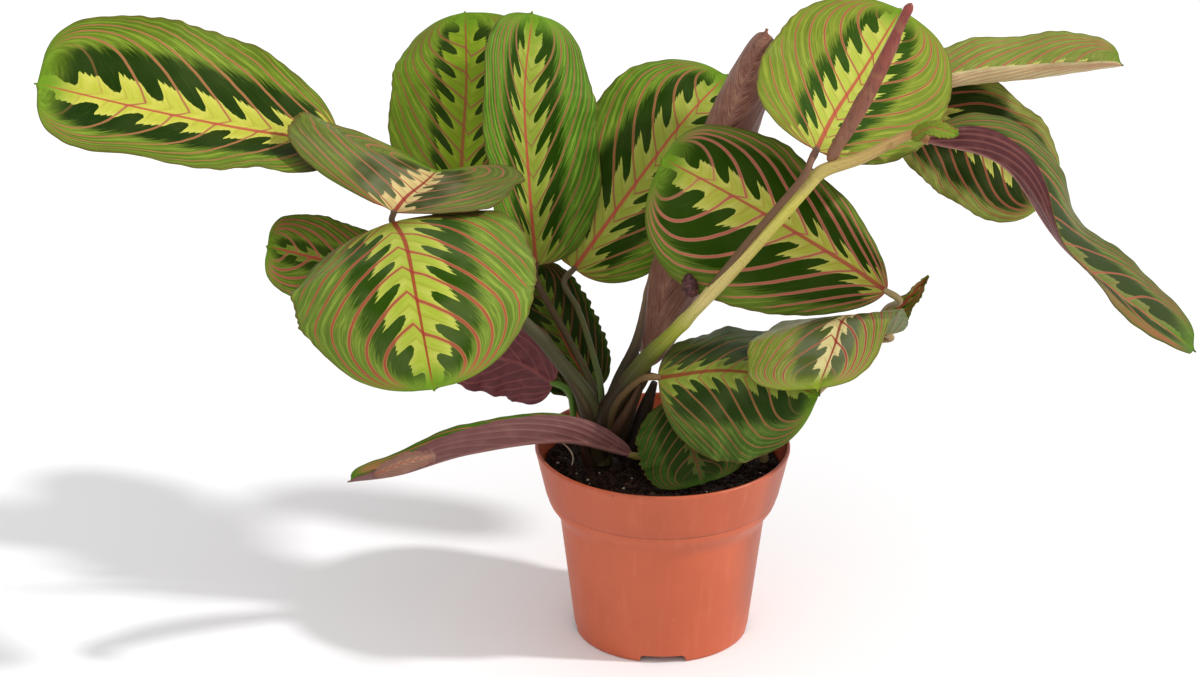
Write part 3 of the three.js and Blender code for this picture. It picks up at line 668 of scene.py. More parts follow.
def leafTop(name, look):
    bench = Bench(name)
    tone = tones(look)
    u, share, flat, toMidrib, phaseHere, spacing = leafPlaces(bench)
    wander = (bench.noise(flat, 7.0, 2.0) - 0.5) * 0.10
    phase = phaseHere + wander + 10.0
    part = phase.fraction()
    toVein = part.atMost(1.0 - part) * spacing * 100.0
    veinHalf = (1.0 - bench.step(share, 0.55, 1.0) * 0.5) * (bench.step(u, -0.05, 0.3) * 0.5 + 0.5)
    veinHalf = veinHalf * look["veinHalf"]
    start = phaseHere / look["pairs"]
    early = bench.fall(start, 0.80, 0.88) * bench.step(start, -0.54, -0.42)
    veinEnd = bench.fall(share, 0.88, 0.97) * bench.fall(u, 0.88, 0.98) * early
    vein = bench.fall(toVein / veinHalf, 0.55, 1.0) * veinEnd
    veinEdge = bench.fall(toVein / veinHalf, 0.8, 1.7) * veinEnd
    toMiddle = abs(part - 0.42) * spacing * 100.0
    smallVein = bench.fall(toMiddle, 0.15, 0.4) * bench.fall(share, 0.12, 0.22) * early
    midribHalf = look["midribHalf"]
    midrib = bench.fall(toMidrib / (1.4 - u), 0.65 * midribHalf, 1.05 * midribHalf)

    # streaks run with the veins
    streak = bench.noise(bench.vector(phase * 2.2, share * 0.9, u * 0.7), 6.0, 4.0, 0.62)
    fine = bench.noise(bench.vector(phase * 3.4, share * 0.8, u * 0.5), 5.0, 4.0, 0.68)
    patchy = bench.noise(flat, 11.0, 3.0)

    # the pale band's edge, as a share of the half width, from one side vein to the next
    teeth = bench.profile(part, [(0.0, 0.30), (0.06, 0.27), (0.13, 0.31), (0.17, 0.28), (0.26, 0.34),
                                 (0.30, 0.30), (0.39, 0.36), (0.44, 0.31), (0.48, 0.17), (0.56, 0.12),
                                 (0.70, 0.125), (0.80, 0.15), (0.88, 0.20), (0.94, 0.28), (1.0, 0.30)])
    ragged = (bench.noise(flat, 30.0, 3.0, 0.6) - 0.5) * 0.07
    size = bench.fall(u, 0.02, 0.13) * 1.6 + 0.95
    tipSize = 1.0 - bench.step(u, 0.70, 1.0) * 0.35
    bandEdge = teeth * size * tipSize * look["bandHalf"] + ragged
    pastBand = share - bandEdge
    outsideBand = bench.step(pastBand, -0.006, 0.010)
    outerEdge = (streak - 0.5) * look["feather"] + look["outer"] - abs(part - 0.5) * 0.10 - u * 0.06
    insideOuter = bench.fall(share - outerEdge, -0.07, 0.07)
    ends = bench.fall(u, 0.88, 0.97) * bench.step(u, 0.03, 0.09)
    dark = outsideBand * insideOuter * ends

    bandEdgePale = bench.step(pastBand, -0.14, -0.01)
    bandTone = bench.step(fine, 0.35, 0.70) * 0.45 + bandEdgePale * 0.5
    bandColour = bench.blend(bandTone, tone["band"], tone["bandPale"])
    bandColour = bench.blend(bench.step(u, 0.84, 0.97), bandColour, tone["tipGreen"])
    streakTone = bench.step(fine, 0.50, 0.68) * look["streaks"] * bench.step(patchy, 0.30, 0.62)
    greenColour = bench.blend(streakTone, tone["green"], tone["streak"])
    # a paler streak mid-way between veins, where the pleat bulges: partly the leaf's own pale line, partly
    # painted highlight
    between = bench.fall(abs(part - 0.5), 0.02, 0.16) * bench.step(share, 0.35, 0.6)
    between = between * bench.step(fine, 0.36, 0.56) * look["streaks"] * 0.8
    greenColour = bench.blend(between, greenColour, tone["streak"])
    # dark streak lines, strongest on one side of each vein gap: partly the leaf's own dark streaks, partly
    # painted shade of the pleats
    shade = bench.step(1.0 - fine, 0.50, 0.66) * (1.0 - bench.step(abs(part - 0.82), 0.06, 0.30) * 0.6)
    greenColour = bench.blend(shade * 0.7, greenColour, (0.42, 0.5, 0.36), "MULTIPLY")
    nearDark = bench.fall(abs(share - outerEdge), 0.0, 0.22) * bench.step(streak, 0.45, 0.62)
    greenColour = bench.blend(nearDark * look["streaks"], greenColour, tone["streak"])
    greenColour = bench.blend(bench.step(u, 0.90, 0.99) * 0.6, greenColour, tone["tipGreen"])
    # painted sheen: a greyish reflection painted in clouds over the dark blotches, as much as sheenShare
    # gives
    cloud = bench.step(bench.noise(flat, 4.0, 2.0), 0.40, 0.66) * look["sheenShare"]
    darkColour = bench.blend(cloud, tone["dark"], tone["sheen"])
    darkColour = bench.blend(bench.step(fine, 0.52, 0.75) * 0.22, darkColour, tone["green"])
    colour = bench.blend(outsideBand, bandColour, greenColour)
    colour = bench.blend(dark, colour, darkColour)
    layers = [
        (smallVein * 0.3, "vein"), (veinEdge * 0.65, "veinEdge"), (vein * 0.9, "vein"),
        (midrib * 0.9 * bench.fall(u, 0.90, 0.99), "midrib"), (bench.step(share, 0.965, 0.99) * 0.5, "rim"),
    ]
    for amount, key in layers:
        colour = bench.blend(amount, colour, tone[key])
    # painted shade: the blade is darkened near its stalk end, as much as baseShade gives
    stalkEndShade = bench.fall(u, 0.0, 0.16) * look["baseShade"]
    colour = bench.blend(stalkEndShade, colour, (0.36, 0.28, 0.2), "MULTIPLY")

    grain = bench.noise(flat, 110.0, 2.0, 0.6)
    height = grain * 0.2 + fine * 0.6 + veinEdge * 0.5
    rough = (grain - 0.5) * 0.12 + look["rough"] + dark * 0.04
    constants = {"Specular IOR Level": 0.12, "Specular Tint": (0.8, 0.9, 0.3, 1)}
    return bench.finish(constants, colour, rough, height, 0.00035, 0.5)


def leafUnder(name, look):
    bench = Bench(name)
    tone = tones(look)
    u, share, flat, toMidrib, phaseHere, spacing = leafPlaces(bench)
    phase = phaseHere + 10.0
    part = phase.fraction()
    toVein = part.atMost(1.0 - part) * spacing * 100.0
    vein = bench.fall(toVein, 0.25, 0.65) * bench.fall(share, 0.82, 0.95)
    midrib = bench.fall(toMidrib, 0.7, 1.4)
    streak = bench.noise(bench.vector(phase * 7.0, share * 0.8, u * 0.5), 6.0, 4.0, 0.65)
    base, pale = tone["under"], tone["underVein"]
    deep = tuple(value * 0.5 for value in base)
    colour = bench.blend(bench.step(streak, 0.3, 0.72), deep, base)
    colour = bench.blend(bench.step(streak, 0.5, 0.7) * look["underStripes"], colour, pale)
    colour = bench.blend(bench.step(bench.noise(flat, 14.0, 3.0), 0.45, 0.75) * 0.25, colour, pale)
    colour = bench.blend(vein * look["underVeins"], colour, pale)
    colour = bench.blend(midrib * look["underRib"], colour, pale)
    grain = bench.noise(flat, 140.0, 2.0, 0.6)
    height = vein * 0.8 + streak * 0.5 + grain * 0.2
    rough = (streak - 0.5) * 0.15 + 0.45
    constants = {"Specular IOR Level": 0.2, "Sheen Weight": 0.04, "Sheen Roughness": 0.4}
    return bench.finish(constants, colour, rough, height, 0.0003, 0.6)


# Small curled parts of the blades: a light green lobe by the long leaf's stalk and a pale turned edge
extraBlades = {
    "curledLobe": {
        "node": "leaf_long_drooping", "midrib": [[109, -24, 255], [117, -29, 261], [129, -33, 259]],
        "facing": [[0.1, -0.7, 0.7], [0.1, -0.7, 0.7]], "width": 10, "widest": 0.5, "fullness": [2.2, 2.4],
        "skew": 0.2, "fold": [10, 10, 10], "left": [-20, -40, -20], "right": [20, 30, 20],
        "wave": [0.4, 2, 0.1, 0.4],
        "look": {
            "green": (112, 144, 36), "band": (124, 152, 44), "outer": 0.0, "veinHalf": 0.1,
            "midribHalf": 0.2,
        },
    },
    "turnedEdge": {
        "node": "leaf_lower_left", "midrib": [[-131, -64, 108], [-118, -64, 114], [-103, -62, 117]],
        "facing": [[0, -0.8, 0.6], [0, -0.8, 0.6]], "width": 9, "widest": 0.5, "fullness": [2.0, 2.0],
        "skew": 0.0, "fold": [0, 0, 0], "left": [-30, -40, -30], "right": [-30, -40, -30],
        "wave": [0.4, 2, 0.1, 0.4],
        "look": {
            "green": (142, 104, 92), "streak": (176, 142, 112), "band": (150, 112, 96),
            "bandPale": (176, 142, 112), "outer": 0.0, "vein": (112, 62, 58), "veinEdge": (150, 108, 92),
            "tipGreen": (142, 104, 92), "veinHalf": 0.1, "midribHalf": 0.2,
        },
    },
}


def makeBlade(title, node, leaf, ownLook):
    look = {**leafLook, **veinBuild, **leafVeins.get(node, {}), **leafLooks.get(node, {}), **ownLook}
    materials = [leafTop(title + "_top", look), leafUnder(title + "_under", look)]
    makeObject(title, bladeMesh(title, node, leaf), materials, node)


for node, leaf in leafShapes.items():
    makeBlade(node.replace("leaf_", "blade_"), node, leaf, {})
for title, leaf in extraBlades.items():
    makeBlade(title, leaf["node"], leaf, leaf["look"])
print("blades made:", len(leafShapes) + len(extraBlades))

# Stems: points from the root end up, radii spread evenly along them, and the colours they run through
stemRoutes = {
    "crown": {
        "points": [[-30, 1, 72.5], [-30, 1, 86], [-30, 1, 92], [-27, -2, 108]], "radii": [7, 6.4, 4.6],
        "colours": [(60, 52, 30), (84, 78, 40)],
    },
    "mainStem": {
        "points": [
            [-31, 0, 90], [-28, -3, 108], [-9, -9, 140], [9, -14, 162], [38, -22, 200], [67, -27, 238],
        ],
        "radii": [6.2, 5.6, 4.9, 3.5, 3.0, 3.5, 3.5, 3.4, 3.3, 3.3], "knot": 85,
        "colours": [
            (42, 34, 22), (48, 38, 25), (56, 46, 28), (88, 92, 34), (152, 158, 54), (212, 194, 126),
            (202, 184, 112), (198, 186, 100), (204, 196, 92), (196, 182, 100),
        ],
    },
    "topBranch": {
        "points": [[60, -26, 230], [70, -27, 240], [87, -24, 245]], "radii": [3.4, 2],
        "blade": "leaf_long_drooping", "colours": [(190, 176, 100), (164, 120, 76)],
    },
    "roundLeafSheath": {
        "points": [[21, -18, 180], [42, -26, 212], [60, -31, 237]], "radii": [2, 1.5],
        "blade": "leaf_top_round", "colours": [(104, 84, 56), (120, 84, 66)],
    },
    "rightTopStalk": {
        "points": [[75, -26, 242], [80, -2, 236], [93, 26, 241]], "radii": [1.7, 1.3],
        "blade": "leaf_right_top", "colours": [(120, 110, 60), (130, 80, 60)],
    },
    "rightDarkStalk": {
        "points": [[88, 16, 239], [96, 44, 243]], "radii": [1.4, 1.3], "blade": "leaf_right_dark",
        "colours": [(120, 110, 60), (110, 90, 60)],
    },
    "leftShoot": {
        "points": [
            [-30, 0, 88], [-33, -4, 116], [-48, -6, 139], [-63, -5, 157], [-98, -15, 195], [-121, -23, 212],
            [-122, -23.15, 219.6],
        ],
        "radii": [3.6, 3.2, 1.4], "colours": [(66, 66, 34), (72, 70, 44), (88, 70, 50)],
    },
    "farLeftStalk": {
        "points": [[-30, 2, 92], [-40, 12, 114], [-60, 25, 140], [-96, 42, 182], [-130, 52, 214]],
        "radii": [2, 1.4], "blade": "leaf_far_left", "colours": [(80, 84, 40), (120, 84, 60)],
    },
    "behindRoundStalk": {
        "points": [[-30, 2, 92], [-42, 11, 112], [-62, 25, 132], [-92, 28, 153]], "radii": [1.8, 1.3],
        "blade": "leaf_behind_round", "colours": [(80, 84, 40), (90, 96, 46)],
    },
    "tallLeftStalk": {
        "points": [[-30, 2, 94], [-38, 12, 114], [-58, 24, 134], [-78, 38, 154]], "radii": [2, 1.4],
        "blade": "leaf_tall_left", "colours": [(80, 84, 40), (110, 96, 50)],
    },
    "tallCentreStalk": {
        "points": [[-28, 2, 94], [-32, 12, 116], [-44, 22, 138]], "radii": [2, 1.5],
        "blade": "leaf_tall_centre", "colours": [(70, 76, 36), (96, 70, 50)],
    },
    "fanStalk": {
        "points": [[-28, 3, 94], [-29, 8, 119], [-34, 18, 137], [-40, 32, 150]], "radii": [1.7, 1.3],
        "blade": "leaf_fan_right", "colours": [(78, 104, 40), (96, 84, 60)],
    },
    "rolledStalk": {
        "points": [[-27, 2, 96], [-19, 6, 108]], "radii": [2.8, 1.6], "blade": "leaf_rolled_back",
        "colours": [(70, 60, 36), (90, 66, 50)],
    },
    "undersideStalk": {
        "points": [[-33, 2, 90], [-41, 7, 103]], "radii": [1.6, 1.3], "blade": "leaf_underside",
        "colours": [(84, 128, 40), (96, 132, 48)],
    },
    "darkStalk": {
        "points": [[-29, 3, 92], [-28, 9, 104]], "radii": [1.8, 1.3], "blade": "leaf_centre_dark",
        "colours": [(70, 76, 36), (90, 70, 46)],
    },
    "lowerFoldStalk": {
        "points": [[-26, -4, 100], [-22, -12, 120]], "radii": [2, 1.3], "blade": "leaf_lower_fold",
        "colours": [(66, 56, 34), (110, 84, 50)],
    },
    "overSoilStalk": {
        "points": [[-16, -8, 126], [-8, -4, 131]], "radii": [1.6, 1.3], "blade": "leaf_over_soil",
        "colours": [(66, 60, 34), (84, 76, 40)],
    },
    "rolledSheath": {
        "points": [[-27, 3, 98], [-20, 7, 122], [-12, 8, 144], [-8, 8, 170]], "radii": [5.6, 5.0, 2.2, 0.5],
        "colours": [(38, 34, 20), (58, 50, 32), (118, 96, 74)],
    },
    # painted shade: this sheath and the husk below are near-black pieces put where the crown's stem bases lie
    # in shade
    "darkSheath": {
        "points": [[-14, 4, 85], [-10, 4, 104], [-4, 2, 125]], "radii": [6.5, 5.6, 1.6],
        "colours": [(22, 18, 12), (34, 28, 18), (60, 46, 30)],
    },
    "darkHusk": {
        "points": [[-5, 3, 85], [-2, 4, 101], [2, 4, 114]], "radii": [5, 4.4, 1.0],
        "colours": [(22, 18, 12), (38, 32, 18), (66, 56, 30)],
    },
    "frontSheath": {
        "points": [[-26, -4, 96], [-17, -10, 116], [-11, -13, 130]], "radii": [3.6, 2.8, 0.6],
        "colours": [(48, 32, 20), (84, 58, 40)],
    },
    "leftSheath": {
        "points": [[-31, -2, 88], [-36, -6, 114], [-46, -8, 136]], "radii": [5, 3.8, 0.7],
        "colours": [(46, 40, 22), (74, 60, 38)],
    },
    "backSheath": {
        "points": [[-24, 0, 92], [-14, -4, 118], [-6, -7, 136]], "radii": [5.5, 3.8, 0.6],
        "colours": [(40, 32, 20), (74, 58, 40)],
    },
    "lowHusk": {
        "points": [[-34, -5, 86], [-37, -8, 96], [-41, -10, 106]], "radii": [3.2, 2.2, 0.5],
        "colours": [(40, 26, 18), (70, 46, 32)],
    },
    "leftStub": {
        "points": [[-32, -2, 88], [-36, -5, 97], [-37, -6, 101]], "radii": [2, 1.6, 0.5],
        "colours": [(90, 96, 40), (150, 140, 60)],
    },
}
rightRoutes = {
    "rightStalk": {
        "points": [
            [48, 1, 72.5], [48, 1, 86], [48, 1, 90], [57, 7, 98], [72, 17, 112], [89, 24, 127],
            [97, 28, 134],
        ],
        "radii": [2.4, 2, 1.7], "colours": [(150, 148, 96), (176, 160, 116), (150, 136, 84)],
    },
    "lowerRightStalk": {
        "points": [[90, 24.5, 128], [98, 28.5, 134]], "radii": [1.7, 1.4], "blade": "leaf_lower_right",
        "colours": [(160, 148, 96), (150, 120, 76)],
    },
    "rightCentreStalk": {
        "points": [[90, 24.5, 128], [101, 27, 144], [105, 18, 156]], "radii": [1.7, 1.4],
        "blade": "leaf_right_centre", "colours": [(160, 148, 96), (176, 156, 110)],
    },
    "curledStalk": {
        "points": [[88, 24, 126], [90, 31, 127]], "radii": [1.3, 1], "blade": "leaf_curled_tail",
        "colours": [(150, 140, 90), (120, 96, 60)],
    },
}
lowRoutes = {
    "lowStalk": {
        "points": [[-6, -9, 72.5], [-6, -9, 86], [-6, -9, 89]], "radii": [2.2, 1.4],
        "blade": "leaf_lower_left", "colours": [(120, 116, 52), (140, 128, 66)],
    },
}
stemBuild = {
    "sides": 20, "spacing": 1.4, "runIn": 8, "overlap": 1.5, "lump": 0.35,
    "jointBack": 5, "jointSwell": 0.18, "knotSwell": 0.16, "swellHalf": 3.5,
}


def geometryTree(name, inputs):
    tree = bpy.data.node_groups.new(name, "GeometryNodeTree")
    tree.interface.new_socket("Geometry", in_out="INPUT", socket_type="NodeSocketGeometry")
    for title, kind, default in inputs:
        socket = tree.interface.new_socket(title, in_out="INPUT", socket_type=kind)
        if default is not None:
            socket.default_value = default
    tree.interface.new_socket("Geometry", in_out="OUTPUT", socket_type="NodeSocketGeometry")
    return tree


# A node with its settings and inputs; an input takes a value, a socket or a node, meaning its first output
def geometryNode(tree, kind, settings=None, links=None):
    made = tree.nodes.new(kind)
    for key, value in (settings or {}).items():
        setattr(made, key, value)
    for key, value in (links or {}).items():
        socket = made.inputs[key]
        if isinstance(value, bpy.types.Node):
            value = value.outputs[0]
        if hasattr(value, "is_linked"):
            tree.links.new(value, socket)
        else:
            socket.default_value = value
    return made


# Stores a value on the points under a name, for the materials to read
def keepValue(tree, geometry, name, value):
    return geometryNode(tree, "GeometryNodeStoreNamedAttribute", {"data_type": "FLOAT", "domain": "POINT"},
                        {"Geometry": geometry, "Name": name, "Value": value})


def endTree(tree, geometry, material):
    real = geometryNode(tree, "GeometryNodeRealizeInstances", None, {"Geometry": geometry})
    dressed = geometryNode(tree, "GeometryNodeSetMaterial", None, {"Geometry": real, "Material": material})
    end = tree.nodes.new("NodeGroupOutput")
    tree.links.new(dressed.outputs["Geometry"], end.inputs["Geometry"])
    return tree


# A tube with a lumpy skin along each spline, its own length and colour share kept as attributes
def tubeTree():
    tree = geometryTree("tubes", [
        ("Sides", "NodeSocketInt", 12), ("Spacing", "NodeSocketFloat", 0.002),
        ("Lump", "NodeSocketFloat", 0.0002), ("Material", "NodeSocketMaterial", None)])
    start = tree.nodes.new("NodeGroupInput").outputs
    even = geometryNode(tree, "GeometryNodeResampleCurve", {"mode": "LENGTH"},
                        {"Curve": start["Geometry"], "Length": start["Spacing"]})
    share = geometryNode(tree, "GeometryNodeSplineParameter")
    line = keepValue(tree, even, "stemShare", share.outputs["Factor"])
    line = keepValue(tree, line, "stemLength", share.outputs["Length"])
    ring = geometryNode(tree, "GeometryNodeCurvePrimitiveCircle", {"mode": "RADIUS"},
                        {"Resolution": start["Sides"], "Radius": 1.0})
    ringShare = geometryNode(tree, "GeometryNodeSplineParameter")
    ringLine = keepValue(tree, ring, "stemRound", ringShare.outputs["Factor"])
    tube = geometryNode(tree, "GeometryNodeCurveToMesh", None,
                        {"Curve": line, "Profile Curve": ringLine, "Fill Caps": True})
    if "Scale" in tube.inputs:
        radius = geometryNode(tree, "GeometryNodeInputRadius")
        tree.links.new(radius.outputs["Radius"], tube.inputs["Scale"])
    noise = geometryNode(tree, "ShaderNodeTexNoise", None, {"Scale": 260.0, "Detail": 2.0})
    centred = geometryNode(tree, "ShaderNodeMath", {"operation": "SUBTRACT"}, {0: noise, 1: 0.5})
    amount = geometryNode(tree, "ShaderNodeMath", {"operation": "MULTIPLY"}, {0: centred, 1: start["Lump"]})
    normal = geometryNode(tree, "GeometryNodeInputNormal")
    push = geometryNode(tree, "ShaderNodeVectorMath", {"operation": "SCALE"}, {0: normal, "Scale": amount})
    moved = geometryNode(tree, "GeometryNodeSetPosition", None, {"Geometry": tube, "Offset": push})
    smooth = geometryNode(tree, "GeometryNodeSetShadeSmooth", None, {"Geometry": moved})
    return endTree(tree, smooth, start["Material"])


tubes = tubeTree()


# Runs an object's modifiers once and gives the result as a plain mesh object at the origin
def settle(source, name, material, node=None):
    bpy.context.view_layer.update()
    evaluated = source.evaluated_get(bpy.context.evaluated_depsgraph_get())
    mesh = bpy.data.meshes.new_from_object(evaluated)
    mesh.name = name
    bpy.data.objects.remove(source)
    mesh.materials.clear()
    return makeObject(name, mesh, [material], node)


def setInputs(modifier, values):
    for item in modifier.node_group.interface.items_tree:
        if item.in_out == "INPUT" and item.name in values:
            modifier[item.identifier] = values[item.name]


def makeTubes(name, paths, sizes, material, node=None):
    curve = bpy.data.curves.new(name, "CURVE")
    curve.dimensions = "3D"
    for spots, radii in paths:
        spline = curve.splines.new("POLY")
        spline.points.add(len(spots) - 1)
        for point, spot, radius in zip(spline.points, spots, radii):
            point.co = (*(float(value) * mm for value in spot), 1)
            point.radius = float(radius) * mm
    source = bpy.data.objects.new(name, curve)
    bpy.context.scene.collection.objects.link(source)
    modifier = source.modifiers.new("tubes", "NODES")
    modifier.node_group = tubes
    setInputs(modifier, {"Sides": sizes["sides"], "Spacing": sizes["spacing"] * mm,
                         "Lump": sizes["lump"] * mm, "Material": material})
    return settle(source, name, material, node)


def stemPath(route):
    points = [list(point) for point in route["points"]]
    if "blade" in route:
        ends, _ = smoothPath(leafShapes[route["blade"]]["midrib"], [0, 0.01])
        way = unit(ends[1] - ends[0])
        points.append(list(ends[0] - way * stemBuild["runIn"]))
        points.append(list(ends[0] + way * stemBuild["overlap"]))
    _, length = smoothPath(points, [0])
    shares = np.linspace(0, 1, max(8, int(length / stemBuild["spacing"])))
    spots, _ = smoothPath(points, shares)
    radii, _ = smoothPath([[k, radius, 0] for k, radius in enumerate(route["radii"])], shares)
    widths = radii[:, 1]
    swells = []
    if "blade" in route:  # the joint under a blade is a little thicker
        swells.append((length - stemBuild["jointBack"], stemBuild["jointSwell"]))
    if "knot" in route:  # where a leaf once grew, so many millimetres up the stem
        swells.append((route["knot"], stemBuild["knotSwell"]))
    for middle, swell in swells:
        widths = widths * (1 + swell * np.exp(-((shares * length - middle) / stemBuild["swellHalf"]) ** 2))
    return spots, widths


def stemMaterial(name, colours, spotted=0.3):
    bench = Bench(name)
    share = bench.attribute("stemShare")
    long = bench.attribute("stemLength")
    turn = bench.attribute("stemRound")
    place = bench.place()
    last = len(colours) - 1
    stops = [(k / last, screen(*colour)) for k, colour in enumerate(colours)]
    ramp = bench.add("ShaderNodeValToRGB", {"stops": stops}, [share])
    angle = turn * (2 * math.pi)
    round1 = bench.add("ShaderNodeMath", {"operation": "SINE"}, [angle])
    round2 = bench.add("ShaderNodeMath", {"operation": "COSINE"}, [angle])
    fibreAt = bench.vector(round1 * 2.5, round2 * 2.5, long * 9.0)
    fibre = bench.noise(fibreAt, 4.0, 3.0, 0.6)
    fleck = bench.noise(place, 900.0, 2.0, 0.6)
    colour = bench.blend(bench.step(fibre, 0.45, 0.70) * 0.6, ramp, (0.5, 0.42, 0.3), "MULTIPLY")
    colour = bench.blend(bench.step(fleck, 0.58, 0.72) * spotted, colour, screen(120, 62, 44))
    height = fibre * 0.7 + fleck * 0.25
    rough = (fibre - 0.5) * 0.2 + 0.46
    return bench.finish({"Specular IOR Level": 0.2}, colour, rough, height, 0.0004, 0.6)


def makeStems(routes, node):
    for title, route in routes.items():
        material = stemMaterial("stem_" + title, route["colours"])
        makeTubes(title, [stemPath(route)], stemBuild, material, node)


makeStems(stemRoutes, "main_shoot")
makeStems(rightRoutes, "right_stalk")
makeStems(lowRoutes, "low_stalk")
print("stems made")


# Rings of points joined to one closed skin; the end rings are closed flat
def loftMesh(name, rings, caps=True):
    count, sides = len(rings), len(rings[0])
    points = np.concatenate(rings) * mm
    faces = []
    for i in range(count - 1):
        for k in range(sides):
            n = (k + 1) % sides
            faces.append((i * sides + k, i * sides + n, (i + 1) * sides + n, (i + 1) * sides + k))
    if caps:
        faces.append(tuple(range(sides - 1, -1, -1)))
        faces.append(tuple((count - 1) * sides + k for k in range(sides)))
    mesh = bpy.data.meshes.new(name)
    mesh.from_pydata(points.tolist(), [], faces)
    mesh.update()
    return mesh


# A spindle along the points; reachAt gives a ring's radii from its share of the length and its angles
def spindle(name, points, count, sides, reachAt):
    shares = np.linspace(0, 1, count)
    spots, _ = smoothPath(points, shares)
    ways = unit(np.gradient(spots, axis=0))
    side = unit(np.cross(ways, np.array([0.0, -1.0, 0.2])))
    lift = np.cross(ways, side)
    turn = np.linspace(0, 2 * np.pi, sides, endpoint=False)
    rings = []
    for k, share in enumerate(shares):
        reach = reachAt(share, turn)
        ring = side[k] * (reach * np.cos(turn))[:, None] + lift[k] * (reach * np.sin(turn))[:, None]
        rings.append(spots[k] + ring)
    return loftMesh(name, rings)


# The rolled young leaf: a spindle whose margin winds round it
spike = {
    "points": [[72.6, -25.4, 244.2], [87, -28, 273], [106, -32, 319]], "radius": 2.4, "swell": 1.0,
    "thin": 0.5, "turns": 1.35, "lap": 0.8, "end": 0.3, "rings": 90, "sides": 48,
    "base": (128, 84, 60), "tip": (138, 60, 50), "fibre": (74, 36, 34), "patch": (150, 112, 70),
}


def spikeReach(share, turn):
    blunt = math.sqrt(min(1, (1 - share) / 0.035) * min(1, (share + 0.01) / 0.06))
    body = spike["radius"] + spike["swell"] * math.sin(math.pi * min(share * 1.15, 1)) - spike["thin"] * share
    wound = (turn / (2 * np.pi) + share * spike["turns"]) % 1
    return spike["end"] + body * blunt + spike["lap"] * (wound - 0.5) * blunt


bench = Bench("young_leaf")
tone = tones(spike)
place = bench.place()
fibre = bench.noise(bench.stretched(place, (1.0, 1.0, 0.12)), 900.0, 3.0, 0.6)
colour = bench.blend(bench.step(bench.parts(place)[2], 0.245, 0.315), tone["base"], tone["tip"])
colour = bench.blend(bench.step(fibre, 0.45, 0.7) * 0.6, colour, tone["fibre"])
colour = bench.blend(bench.step(bench.noise(place, 160.0, 2.0), 0.5, 0.7) * 0.3, colour, tone["patch"])
youngLeaf = bench.finish({"Specular IOR Level": 0.4}, colour, (fibre - 0.5) * 0.2 + 0.45, fibre, 0.0003, 0.6)
spikeMesh = spindle("youngLeafSpike", spike["points"], spike["rings"], spike["sides"], spikeReach)
makeObject("youngLeafSpike", spikeMesh, [youngLeaf], "new_leaf_spike")

# The flower bud: bracts folded over one another
bud = {
    "points": [[13.6, -15.3, 175], [11.6, -14.3, 180.5], [10.8, -13.7, 185.5]], "radius": 3.3, "end": 0.4,
    "bracts": 4, "overlap": 0.16, "rings": 60, "sides": 40, "dark": (54, 22, 24), "pale": (98, 54, 50),
}


def budReach(share, turn):
    bract = (share * bud["bracts"] + turn / np.pi) % 1
    radius = bud["end"] + bud["radius"] * math.sin(math.pi * min(share * 0.9 + 0.06, 1)) ** 0.7
    return radius * (1 + bud["overlap"] * (bract - 0.5))


bench = Bench("bud_bracts")
tone = tones(bud)
fibre = bench.noise(bench.place(), 700.0, 3.0, 0.6)
colour = bench.blend(bench.step(fibre, 0.4, 0.7), tone["dark"], tone["pale"])
budMaterial = bench.finish({"Specular IOR Level": 0.35}, colour, 0.5, fibre, 0.0004, 0.7)
budMesh = spindle("flowerBud", bud["points"], bud["rings"], bud["sides"], budReach)
makeObject("flowerBud", budMesh, [budMaterial], "flower_bud")
print("young leaf and bud made")

# Pot: outside up, over the rolled rim, and down inside; radius and height
potShape = {
    "outer": [[9, 0], [9.6, 4], [38.6, 4], [39.0, 0.6], [39.6, 0], [40.6, 0], [41.2, 0.5], [41.5, 1.8],
              [48.3, 58.4], [48.7, 60], [49.6, 61.8], [51, 63.8], [53.1, 66.9], [54.0, 69], [54.2, 70.4],
              [54.15, 70.9], [54.8, 71.5], [54.95, 72], [55.25, 72.8], [59.7, 92.6], [60, 93.4], [60, 94.2],
              [59.6, 94.9], [59.1, 95]],
    "inner": [[58.6, 94.8], [58.4, 94], [58.2, 92.6], [53.6, 72.6], [53.3, 71], [52.6, 69.4], [51.6, 67.4],
              [49.5, 64.2], [48.2, 62.2], [47.3, 60.2], [46.9, 58.4], [40.4, 8], [39.6, 6], [38.2, 5.4]],
    "sides": 160, "archWidth": 22, "archHeight": 3.7, "archCount": 4, "archReach": [34, 46],
    "drainRadius": 3.4, "drainCircle": 26, "drainCount": 6, "drainHeights": [2, 8], "drainSides": 32,
}
potLook = {
    "body": (188, 88, 52), "bodyDark": (168, 74, 42), "flow": (222, 134, 100), "scuff": (226, 158, 130),
    "dirt": (44, 26, 18), "grooveZ": 0.0711,
}


# Points of the profile at about even steps, so that its corners stay round and its walls are well divided
def refine(profile, step=2.2):
    fine = []
    for (r0, z0), (r1, z1) in zip(profile, profile[1:]):
        parts = max(1, round(math.hypot(r1 - r0, z1 - z0) / step))
        fine += [[r0 + (r1 - r0) * k / parts, z0 + (z1 - z0) * k / parts] for k in range(parts)]
    return fine + [profile[-1]]


def ringAt(radius, height, sides):
    turn = np.linspace(0, 2 * np.pi, sides, endpoint=False)
    return np.stack([radius * np.cos(turn), radius * np.sin(turn), np.full(sides, height)], -1)


profile = refine(potShape["outer"]) + refine(potShape["inner"])
potMesh = loftMesh("pot", [ringAt(r, z, potShape["sides"]) for r, z in profile])
cutters = bpy.data.collections.new("cutters")
bpy.context.scene.collection.children.link(cutters)


def addCutter(name, rings):
    cutter = bpy.data.objects.new(name, loftMesh(name, rings))
    cutters.objects.link(cutter)


